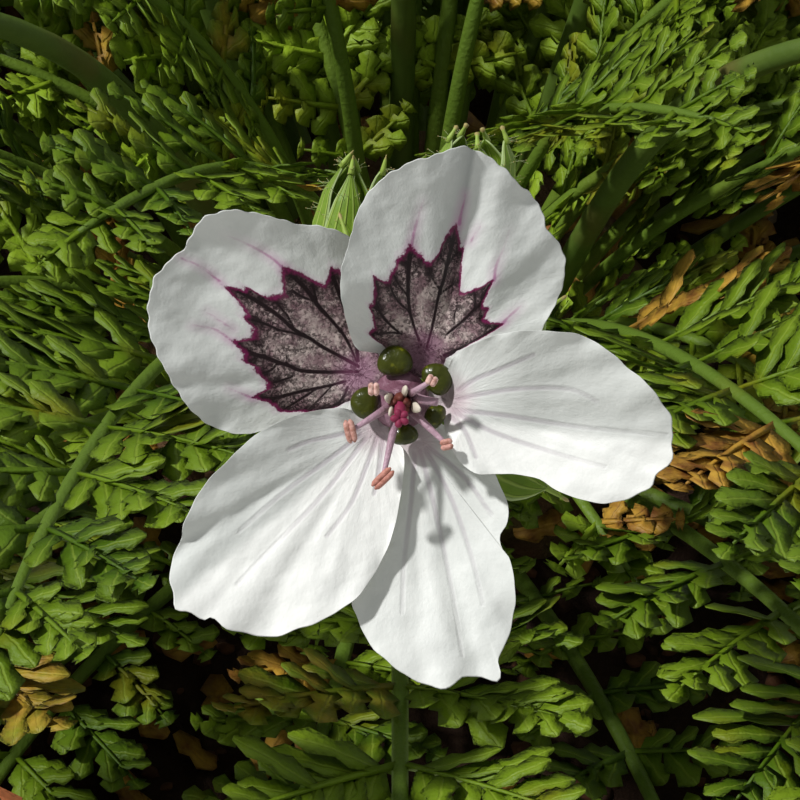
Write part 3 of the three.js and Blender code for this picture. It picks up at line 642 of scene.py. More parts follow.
def withered(place, az):
    """How withered a leaflet is, on a frond that is turned to an azimuth."""
    x, y, z = turned_about((0, 0, 1), rad(az), place) - STAR
    out = -y * math.cos(rad(STAR_EL)) + z * math.sin(rad(STAR_EL))
    up = y * math.sin(rad(STAR_EL)) + z * math.cos(rad(STAR_EL))
    nearer = VIEW_DISTANCE / (VIEW_DISTANCE - out)
    gaps = [math.hypot(x * nearer - across, up * nearer - over) / wide for across, over, wide in WITHERED]
    return max(0, WITHERED_MOST - WITHERED_FADE * min(gaps) ** 2)


def leaflet(heap, at, axis, across, up, length, number, **values):
    """A leaflet with pairs of lobes on a thin rib, and a lobe at its end."""
    def on_line(a):
        return at + axis * a * length - up * LEAFLET_DROOP * a * a * length

    line = [on_line(a) for a in np.linspace(0, LEAFLET_END, len(LEAFLET_RIB))]
    corners, faces = tube(line, LEAFLET_RIB, 3, 0.7, up)
    values["tone"] += spread(number, 11, 0.5)
    heap.add(corners, faces, tip=0, side=1, **values)
    count = max(2, round(length / LOBE_SPACING))
    for n in range(count + 1):
        a = LOBES_FROM + LOBES_RUN * n / count
        way_on = axis - up * 2 * LEAFLET_DROOP * a
        size = LOBE_SHARE * length * (0.52 + 0.6 * math.sin(math.pi * (0.25 + 0.62 * a)) - 0.42 * a)
        for hand in ([1, -1] if n < count else [0]):
            seed = 64 * number + 2 * n + (hand > 0)
            angle = rad(LOBE_ANGLE - 12 * a + spread(seed, 12, 14)) * hand
            lift = 0.12 + spread(seed, 13, 0.24)
            way = unit(way_on * math.cos(angle) + across * math.sin(angle) + up * lift)
            left = unit(np.cross(up + across * spread(seed, 14, 0.3), way))
            own_size = size * (1 + spread(seed, 15, 0.22)) * (1 if hand else 0.9)
            width = LOBE_WIDTH * (0.7 + 0.05 * own_size) * (1 + spread(seed, 16, 0.12))
            lobe(heap, on_line(a), way, left, own_size, width, 0.1 + spread(seed, 17, 0.12), **values)


def frond(tier, form):
    """One whole frond, turned to its place round the crown."""
    heap = Heap()
    number = form["number"]
    tone = 0.5 + form["fresh"]
    rows = rib_rows(tier, form)
    shares = np.linspace(0, RIB_END, RIB_POINTS)
    places = [on_rib(rows, s)[0] for s in shares]
    foot = places[0] - on_rib(rows, 0)[1] * RIB_SUNK
    tip_taper = np.where(shares > RIB_TIP, 1 - RIB_TIP_TAPER * (shares - RIB_TIP), 1)
    radii = RIB_WIDTH / 2 * (1 - RIB_TAPER * shares) * tip_taper
    corners, faces = tube([foot, *places], [radii[0] * RIB_FOOT, *radii], RIB_SIDES, RIB_FLAT)
    heap.add(corners, faces, tip=-1, side=1, tone=tone, age=0)
    blade = 1 - tier["petiole"]
    for n in range(tier["pairs"]):
        b = n / tier["pairs"]
        at, along, side, up = on_rib(rows, tier["petiole"] + blade * b)
        for hand in (1, -1):
            seed = 32 * number + 2 * n + (hand > 0)
            angle = rad(LEAFLET_ANGLE - LEAFLET_CLOSING * b + spread(seed, 21, 8))
            tilt = math.sin(rad(LEAFLET_LIFT))
            out = unit(side * hand * (1 - tilt) + up * tilt)
            axis = along * math.cos(angle) + out * math.sin(angle)
            across = along * math.sin(angle) - out * math.cos(angle)
            face = np.cross(across, axis) * hand
            length = tier["reach"] * leaflet_share(b) * (1 + spread(seed, 22, 0.1))
            age = max(0.0, spread(seed, 23, 1.0) - 0.8) * 5 + max(0.0, spread(number, 24, 1.0) - 0.8)
            age += withered(at + axis * length * 0.6, form["az"])
            leaflet(heap, at, axis, across * hand, face, length, seed, tone=tone, age=age)
    at, along, side, up = on_rib(rows, 1 - 0.1 * blade)
    leaflet(heap, at, along, side, up, LEAFLET_LAST * tier["reach"], 32 * number + 30, tone=tone, age=0)
    return heap.turned(form["az"])


leaf = Finish("leaf", gloss=0.28)
age, tone, tip = leaf.value("age"), leaf.value("tone"), leaf.value("tip")
green = leaf.mix(tone, rgb(58, 84, 10), rgb(104, 128, 26))
green = leaf.mix(tone.step(0.9, 1.6), green, rgb(140, 168, 44))
green = leaf.mix(leaf.noise(5, 4).step(0.35, 0.7) * 0.5, green, rgb(74, 98, 12))
green = leaf.mix(leaf.noise(9, 2).step(0.56, 0.7) * 0.6, green, rgb(124, 116, 24))
green = leaf.mix(tip.step(0.2, 1) * 0.3, green, rgb(128, 150, 42))
midrib = abs(leaf.value("side")).step(0.16, 0.03)
green = leaf.mix(midrib * 0.3, green, rgb(142, 160, 62))
green = leaf.mix(tip.step(-0.1, -0.6) * 0.8, green, rgb(86, 108, 40))
dry = leaf.mix(leaf.noise(1.5, 3).step(0.35, 0.75), rgb(178, 138, 54), rgb(112, 68, 34))
leaf.colour(leaf.mix((age + leaf.noise(2, 3) * 0.6 - 0.3).step(0.3, 0.8), green, dry))
leaf.roughness(leaf.noise(1, 2) * 0.2 + 0.42)
leaf.relief(leaf.noise(0.35, 3) - midrib * 0.5, 0.1)

for t, tier in enumerate(TIERS):
    for i in range(tier["count"]):
        label = f"{tier['name']}_{i + 1:02d}"
        frond(tier, habit(tier, t, i)).piece(f"foliage_{label}", leaf, "leaf", f"frond_{label}")


# Young leaves that are still short stand close round the crown's top and low leaves lie under the tiers. They
# grow from the crown like the fronds. Withered bits of old leaves lie on the mix.
YOUNG = {"petiole": 0.16, "pairs": 7}
# fresh tells how much lighter the leaves are that have just opened.
YOUNG_GROUPS = [
    {"name": "low_leaves", "count": 14, "first": 8, "between": 360 / 14, "seat": 17.5, "seat_draw": 0.8,
     "length": 46, "rise": 26, "fall": -14, "reach": 10, "fresh": 0},
    {"name": "young_leaves", "count": 12, "first": 20, "between": 30, "seat": 10, "seat_draw": 5,
     "length": 36, "rise": 62, "fall": 0, "reach": 9, "fresh": 0.75},
    {"name": "filling_leaves", "count": 18, "first": 6, "between": 9.8, "seat": 10, "seat_draw": 5,
     "length": 54, "rise": 66, "fall": -4, "reach": 12, "fresh": 0.75},
]
LITTER = 200
LITTER_MARGIN = 6
LITTER_LENGTH, LITTER_WIDTH = 4.5, 1.1
LITTER_AGE = 1.4

for number, group in enumerate(YOUNG_GROUPS):
    young = Heap()
    for n in range(group["count"]):
        i = 50 * number + n
        seat = group["seat"] + spread(i, 31, group["seat_draw"])
        tier = {**YOUNG, "seat": seat, "reach": group["reach"] + spread(i, 32, 1.5)}
        form = {
            "number": 400 + i, "fresh": group["fresh"],
            "az": group["first"] + group["between"] * n + spread(i, 38, 4),
            "length": group["length"] + spread(i, 33, 7),
            "rise": group["rise"] + spread(i, 37, 8),
            "fall": group["fall"] + spread(i, 34, 12),
            "sway": spread(i, 35, 20),
            "roll": spread(i, 36, 20),
        }
        young.parts += frond(tier, form).parts
    young.piece(group["name"], leaf, "leaf")

litter = Heap()
for i in range(LITTER):
    r = math.sqrt(0.5 + spread(i, 41, 0.5)) * (MIX_EDGE - LITTER_MARGIN)
    turn, face = spread(i, 42, math.pi), spread(i, 43, math.pi)
    px, py = r * math.cos(turn), r * math.sin(turn)
    level = MIX_TOP + swell(px, py) + 1.2 if r > CROWN_ROOT else crown_height(max(r, 0.1)) + 1
    way = unit([math.cos(face), math.sin(face), spread(i, 44, 0.35)])
    left = unit(np.cross((spread(i, 45, 0.4), spread(i, 46, 0.4), 1), way))
    place = np.array([px, py, level + spread(i, 47, 0.5)])
    length, curl = LITTER_LENGTH + spread(i, 48, 2), spread(i, 49, 0.5)
    lobe(litter, place, way, left, length, LITTER_WIDTH, curl, tone=0.5, age=LITTER_AGE)
litter.piece("withered_leaves", leaf, "leaf")


# The flower stalks are round green stems that fork at a swollen joint with small bracts. Each grows out of
# the crown as one piece with the green sepals of its heads. Soft hairs with tiny glands stand on the finest.
SOCKET_DEPTH = 3.5
STALK_RADIUS = 0.8
STALK_STRAIGHT = 4
STALK_SIDES = 10
STALK_POINTS = 60
PATH_SAMPLES = 12
PEDICEL_RADIUS = 0.5
PEDICEL_RUN = 4
PEDICEL_SUNK = 0.35
PEDICEL_POINTS = 24
KNOT_RADIUS = 1.25
BRACT_LENGTH = 3.2
BRACT_ANGLES = (20, 140, 260)
BRACT_LIFT = 25
# Radius at stations: along a bract by share of its length, and up a head's axis in the cup behind the petals,
# in the core of a closed head and in the beak of a fruit.
BRACT = [(0.7, 0.2), (0.75, 0.4), (0.5, 0.65), (0.25, 0.85), (0.05, 1)]
CUP = [(0.55, -3.3), (0.85, -2.8), (1.15, -2.2), (1.3, -1.7), (1.25, -1.45)]
CORE = [(0.5, 0.1), (1.1, 1), (1.35, 2.6), (1.2, 4), (0.8, 5.2)]
BEAK = [(0.5, 1), (1.25, 2.6), (1.1, 4.5), (0.7, 6), (0.62, 12), (0.45, 22), (0.3, 28), (0.12, 30.2)]
SEPAL_BACK = -3.2
SEPAL_ANGLES = (108, 32, -31, -102, 180)
SEPAL_THICK = 0.2
# Stations along and across a sepal, on the finest heads and on the others.
FINE_SEPAL, SMALL_SEPAL = (26, 13), (9, 5)
SPREAD_AWN = (1.3, 0.08, 0.09)
HAIR_THICK = 0.016
SEPAL_HAIR = 0.45
PEDICEL_HAIR = 0.6


def head_frame(head):
    """The frame of a head: its three axes as rows, z along az and el and y as near upright as it can be."""
    z = towards(head["az"], head["el"])
    x = unit(np.cross((0, 0, 1), z))
    y = np.cross(z, x)
    spin = rad(head.get("spin", 0))
    cos, sin = math.cos(spin), math.sin(spin)
    axes = np.array([x * cos + y * sin, y * cos - x * sin, z]) * head.get("size", 1)
    return axes, np.asarray(head["at"], float)


def put(points, axes_and_place):
    axes, place = axes_and_place
    return np.asarray(points, float) @ axes + place


def from_star(x, y, z):
    """A place given from the middle of the finest bloom: across, up and out along the way it faces."""
    return put((x, y, z), head_frame({"at": STAR, "az": -90, "el": STAR_EL}))


STALKS = [
    {"name": "star", "foot": (0, -11), "bow": (0, -24, 130), "fork": from_star(0, -0.6, -14), "heads": [
        {"kind": "bloom", "at": STAR, "az": -90, "el": STAR_EL, "fine": True},
        {"kind": "bud", "at": from_star(-3.2, 4.1, -6.6), "az": 79, "el": 50, "fine": True},
        {"kind": "calyx", "at": from_star(3.45, 6.4, -6.8), "az": 88, "el": 50, "fine": True}]},
    {"name": "left_front", "foot": (-7, -6.4), "bow": (-21, -13, 134), "fork": (-60, -34, 166), "heads": [
        {"kind": "bloom", "at": (-70, -40, 176), "az": 212, "el": 46, "size": 0.96, "spin": 14},
        {"kind": "bud", "at": (-56, -38, 176), "az": 240, "el": 72}]},
    {"name": "left_back", "foot": (-7.4, 6), "bow": (-20, 15, 136), "fork": (-43, 38, 180), "heads": [
        {"kind": "bloom", "at": (-53, 46, 190), "az": 142, "el": 42, "size": 1.02, "spin": -10},
        {"kind": "bud", "at": (-33, 45, 192), "az": 60, "el": 66},
        {"kind": "fruit", "at": (-38, 33, 190), "az": -30, "el": 78}]},
    {"name": "back", "foot": (0, 9), "bow": (1, 20, 144), "fork": (4, 48, 192), "heads": [
        {"kind": "bloom", "at": (5, 59, 201), "az": 84, "el": 44, "size": 0.94, "spin": 22},
        {"kind": "bud", "at": (-3, 47, 203), "az": 180, "el": 74}]},
    {"name": "right_back", "foot": (7.4, 6), "bow": (20, 12, 138), "fork": (52, 32, 178), "heads": [
        {"kind": "bloom", "at": (63, 37, 188), "az": 26, "el": 40, "size": 1, "spin": -18},
        {"kind": "fruit", "at": (49, 39, 189), "az": 110, "el": 76}]},
    {"name": "right_front", "foot": (7, -6.4), "bow": (21, -13, 132), "fork": (62, -34, 160), "heads": [
        {"kind": "bloom", "at": (72, -42, 170), "az": -36, "el": 44, "size": 0.98, "spin": 8},
        {"kind": "bud", "at": (58, -38, 172), "az": -110, "el": 72}]},
]


def smooth_path(points, count):
    """Points along the smooth curve that passes through the given ones, evenly on their centripetal knots."""
    p = [np.asarray(point, float) for point in points]
    p = [2 * p[0] - p[1], *p, 2 * p[-1] - p[-2]]
    samples = []
    for k in range(1, len(p) - 2):
        d0, d1, d2 = [max(np.linalg.norm(p[k + n] - p[k + n - 1]) ** 0.5, 1e-6) for n in (0, 1, 2)]
        t1 = ((p[k] - p[k - 1]) / d0 - (p[k + 1] - p[k - 1]) / (d0 + d1) + (p[k + 1] - p[k]) / d1) * d1
        t2 = ((p[k + 1] - p[k]) / d1 - (p[k + 2] - p[k]) / (d1 + d2) + (p[k + 2] - p[k + 1]) / d2) * d1
        a, b = p[k], p[k + 1]
        for u in np.arange(0, 1, 1 / PATH_SAMPLES):
            samples.append(a + t1 * u + (3 * (b - a) - 2 * t1 - t2) * u * u
                           + (2 * (a - b) + t1 + t2) * u ** 3)
    samples.append(p[-2])
    samples = np.array(samples)
    way = np.concatenate([[0], np.cumsum(np.linalg.norm(np.diff(samples, axis=0), axis=1))])
    even = np.linspace(0, way[-1], count)
    return np.stack([np.interp(even, way, samples[:, n]) for n in range(3)], axis=1)


def hair(heap, foot, way, length):
    """A fine hair with a tiny gland at its end."""
    bend = foot + way * length * 0.5
    end = foot + way * length + np.array([0, 0, -0.06 * length])
    radii = [HAIR_THICK, HAIR_THICK * 0.6, HAIR_THICK * 0.45]
    corners, faces = tube([foot, bend, end - way * HAIR_THICK], radii, 3)
    heap.add(corners, faces, gland=0)
    heap.add(lump_corners * HAIR_THICK * 1.7 + end, lump_faces, gland=1)


def hairs_on(heap, places, ways, number, length):
    for n, (place, way) in enumerate(zip(places, ways)):
        seed = 1000 * number + n
        lean = np.array([spread(seed, 51, 0.5), spread(seed, 52, 0.5), spread(seed, 53, 0.5)])
        hair(heap, place, unit(way + lean), length * (1 + spread(seed, 54, 0.45)))


def by_table(table):
    """A radius or half width from a table of (size, share of the way along)."""
    sizes, shares = zip(*table)

    def size_at(share):
        return float(np.interp(share, shares, sizes))

    return size_at


sepal_half_width = by_table([(0.95, 0), (1.3, 0.15), (1.6, 0.35), (1.75, 0.55), (1.65, 0.72), (1.35, 0.85),
                             (0.8, 0.94), (0.12, 1)])


def sepal(heap, head_place, place_of, steps, across):
    """A green sepal: place_of gives the place and outward way at a share along it and a share across it."""
    rows = []
    for s in np.linspace(0, 1, steps):
        rows.append([place_of(s, a) for a in np.linspace(-1, 1, across)])
    outer = np.array([[place for place, _ in row] for row in rows])
    ways = np.array([[way for _, way in row] for row in rows])
    edge = np.abs(np.linspace(-1, 1, across))
    inner = outer - ways * (SEPAL_THICK * (1 - edge ** 4 * 0.8))[None, :, None]
    corners = np.concatenate([outer.reshape(-1, 3), inner.reshape(-1, 3)])
    shift = steps * across
    faces = []
    for i in range(steps - 1):
        for k in range(across - 1):
            a, b = i * across + k, i * across + k + 1
            faces.append([a, b, b + across, a + across])
            faces.append([shift + a, shift + a + across, shift + b + across, shift + b])
        for k, flip in ((0, False), (across - 1, True)):
            a, b = i * across + k, (i + 1) * across + k
            side = [a, b, shift + b, shift + a]
            faces.append(side[::-1] if flip else side)
    for k in range(across - 1):
        top = (steps - 1) * across + k
        faces.append([k, shift + k, shift + k + 1, k + 1])
        faces.append([top, top + 1, shift + top + 1, shift + top])
    share = np.repeat(np.linspace(0, 1, steps), across)
    side = np.tile(np.linspace(-1, 1, across), steps)
    heap.add(put(corners, head_place), faces, along=np.tile(share, 2), across=np.tile(side, 2))
    return outer, ways


def spread_sepal(angle):
    """A sepal of an open bloom, spread behind the petals, in the bloom's own frame."""
    def place_of(s, a):
        x = 1.1 + 7.0 * s
        y = a * sepal_half_width(s)
        z = -1.75 - 0.10 * (x - 1.5) + 0.35 * y ** 2 / 2 - 0.25 * s ** 4
        place = turned_about((0, 0, 1), rad(angle), (x, y, z))
        way = turned_about((0, 0, 1), rad(angle), (0.12, -0.45 * y, -1))
        return place, unit(way)
    return place_of


# Closed heads: the height, how far each sepal leans out at its tip, the point it ends in, and the radius.
CLOSED_HEADS = {
    "bud": {"height": 7.4, "flare": (0, 0, 1.2, 0, 0), "awn": (0.8, 0.09, 0.03), "outline": by_table(
        [(0.6, 0), (1.15, 0.14), (1.42, 0.36), (1.42, 0.6), (1.12, 0.82), (0.4, 1)])},
    "calyx": {"height": 6.3, "flare": (0.2, 0, 0.5, 0, 0), "awn": (0.75, 0.09, 0.13), "outline": by_table(
        [(0.6, 0), (1.35, 0.12), (1.75, 0.35), (1.85, 0.6), (1.65, 0.85), (1.0, 1)])},
    "fruit": {"height": 6.0, "flare": (0.5, 0.5, 0.5, 0.5, 0.5), "awn": (1.0, 0.1, 0.13), "outline": by_table(
        [(0.6, 0), (1.3, 0.15), (1.5, 0.4), (1.2, 0.7), (0.9, 1)])},
}


def closed_sepal(form, n):
    """A sepal of a closed head, upright round its axis. Every other one lies a little over its neighbours."""
    over = n % 2
    turn = 72 * n + 20 + 6 * over
    height = form["height"] * (1 - 0.03 * over)

    def place_of(s, a):
        half = 50 * (1 - s ** 4) ** 0.6 * (1 - 0.2 * s) + 2
        angle = rad(turn + a * half)
        radius = form["outline"](s) * (1 + 0.04 * over)
        r = radius * (1 + 0.1 * (1 - a * a)) + form["flare"][n] * s ** 5
        place = np.array([r * math.cos(angle), r * math.sin(angle), height * s])
        return place, unit([math.cos(angle), math.sin(angle), -0.1 + 0.4 * s])
    return place_of


stem = Finish("stem", gloss=0.35, rough=0.5)
stem_colour = stem.mix(stem.noise(3, 3), rgb(62, 84, 28), rgb(90, 108, 46))
stem.colour(stem.mix(stem.noise(7, 2).step(0.5, 0.72) * 0.5, stem_colour, rgb(98, 74, 46)))
stem.relief(stem.noise(0.5, 3), 0.05)

sepal_green = Finish("sepal", gloss=0.35, rough=0.5)
along, across = sepal_green.value("along"), sepal_green.value("across")
ribs = abs((across * 2.5 + 0.5).fract() - 0.5).step(0.22, 0.04)
sepal_colour = sepal_green.mix(sepal_green.noise(1.2, 3), rgb(78, 108, 24), rgb(124, 152, 44))
sepal_colour = sepal_green.mix(ribs * 0.75, sepal_colour, rgb(150, 172, 78))
sepal_colour = sepal_green.mix(abs(across).step(0.8, 0.97), sepal_colour, rgb(160, 178, 120))
sepal_green.colour(sepal_green.mix(along.step(1.2, 1.8) * 0.8, sepal_colour, rgb(160, 136, 92)))
sepal_green.relief(ribs + sepal_green.noise(0.3, 2) * 0.4, 0.06)

downy = Finish("gland_hairs", gloss=0.5, rough=0.35)
downy.colour(downy.mix(downy.value("gland"), rgb(176, 188, 132), rgb(176, 152, 100)))


def rod(heap, place, line, radii, sides, flat=1, **values):
    """Lays a rod whose line is given in the frame of a head."""
    corners, faces = tube(line, radii, sides, flat)
    heap.add(put(corners, place), faces, **values)


def awn(heap, place, middle, form, fine):
    """The fine point that goes on from a sepal's middle line, with a pale knob where it has one."""
    length, waist, knob = form
    way = unit(middle[-1] - middle[-3])
    line = [middle[-1] + way * length * s for s in (-0.25, 0.2, 0.6, 0.9, 1)]
    sides = 8 if fine else 5
    along = np.append(np.repeat([1, 1, 1.1, 2, 2], sides), [1, 2])
    rod(heap, place, line, [0.17, 0.13, waist, knob, 0.02], sides, along=along, across=0)


def up_axis(heap, place, stations, sides):
    """Lays a rod along a head's axis, from a table of (radius, height)."""
    line = [put((0, 0, z), place) for _, z in stations]
    heap.add(*tube(line, [radius for radius, _ in stations], sides))


for number, row in enumerate(STALKS):
    name = row["name"]
    x, y = row["foot"]
    seat = np.array([x, y, crown_height(math.hypot(x, y))])
    axis = unit(np.array(row["bow"]) - seat)
    foot = seat - axis * SOCKET_DEPTH
    fork = np.asarray(row["fork"], float)
    stems, greens, down = Heap(), Heap(), Heap()
    line = smooth_path([foot, foot + axis * (SOCKET_DEPTH + STALK_STRAIGHT), row["bow"], fork], STALK_POINTS)
    stems.add(*tube(line, np.linspace(STALK_RADIUS * 1.1, STALK_RADIUS * 0.85, STALK_POINTS), STALK_SIDES))
    knot = lump_corners * [KNOT_RADIUS, KNOT_RADIUS, KNOT_RADIUS * 0.85]
    stems.add(knot + fork, lump_faces)
    for angle in BRACT_ANGLES:
        way = towards(angle, BRACT_LIFT)
        line = [fork + way * BRACT_LENGTH * share for _, share in BRACT]
        stems.add(*tube(line, [radius for radius, _ in BRACT], 8, 0.35))
    for m, head in enumerate(row["heads"]):
        fine = head.get("fine", False)
        place = head_frame(head)
        bloom = head["kind"] == "bloom"
        back = SEPAL_BACK if bloom else 0
        into_head = [put((0, 0, z), place) for z in (back - PEDICEL_RUN, back + PEDICEL_SUNK)]
        pedicel = smooth_path([fork, *into_head], PEDICEL_POINTS)
        radii = np.linspace(PEDICEL_RADIUS * 1.05, PEDICEL_RADIUS * 1.1, PEDICEL_POINTS)
        stems.add(*tube(pedicel, radii, STALK_SIDES))
        if bloom:
            up_axis(stems, place, CUP, 16)
            sepals = [(spread_sepal(angle), SPREAD_AWN) for angle in SEPAL_ANGLES]
        else:
            form = CLOSED_HEADS[head["kind"]]
            sepals = [(closed_sepal(form, n), form["awn"]) for n in range(5)]
            up_axis(stems, place, CORE, 12)
            if head["kind"] == "fruit":
                up_axis(stems, place, BEAK, 10)
        seed = 10 * number + m
        steps, wide = FINE_SEPAL if fine else SMALL_SEPAL
        for n, (place_of, point) in enumerate(sepals):
            outer, ways = sepal(greens, place, place_of, steps, wide)
            awn(greens, place, outer[:, wide // 2], point, fine)
            if fine:
                feet = put(outer[1::4, ::3].reshape(-1, 3), place)
                on = ways[1::4, ::3].reshape(-1, 3) @ place[0]
                hairs_on(down, feet, on, 20 * seed + n, SEPAL_HAIR)
        if fine:
            sides = np.array([towards(137 * k, 30) for k in range(1, PEDICEL_POINTS - 1)])
            feet = pedicel[1:-1] + sides * PEDICEL_RADIUS * 0.9
            hairs_on(down, feet, sides, 500 + seed, PEDICEL_HAIR)
    stems.piece(f"stem_{name}", stem, "stem", f"stalk_{name}")
    greens.piece(f"sepals_{name}", sepal_green, "stem", f"stalk_{name}")
    if down.parts:
        down.piece(f"hairs_{name}", downy, "stem")


# Each bloom has five thin white petals in three levels, the upper two with a dark veined blotch. They fan out
# from narrow claws on a small receptacle, in a shallow bowl with soft folds along them.
PETAL_SIZE = 13
PETAL_WAVE = 0.45
LEVEL_FROM, LEVEL_TO = 2, 3.2
BEND_FROM, BEND_TO = 2.2, 6
BEND_SOFT = 0.14
STEP_RUN = 0.8
HUB_RADIUS = 1.3
CLAW_HALF = 17
PETAL_THICK = 0.06
RIM_START = 0.994
RIM_WAVE = 0.006
VEIN_FULLNESS = 0.72
# Half the width over which a petal's painted shade turns from its lighter to its greyer side, and how fast
# the painted shade along a fold fades.
PAINTED_DIM_BLUR = 0.3
PAINTED_FOLD_FADE = 0.65
# Stations round and out over a petal of the finest bloom, with a blotch and without, and of the others, whose
# petals are also thicker.
BLOTCHED_GRID, PLAIN_GRID, SMALL_GRID = (250, 70), (140, 44), (46, 12)
SMALL_THICK = 3 * PETAL_THICK
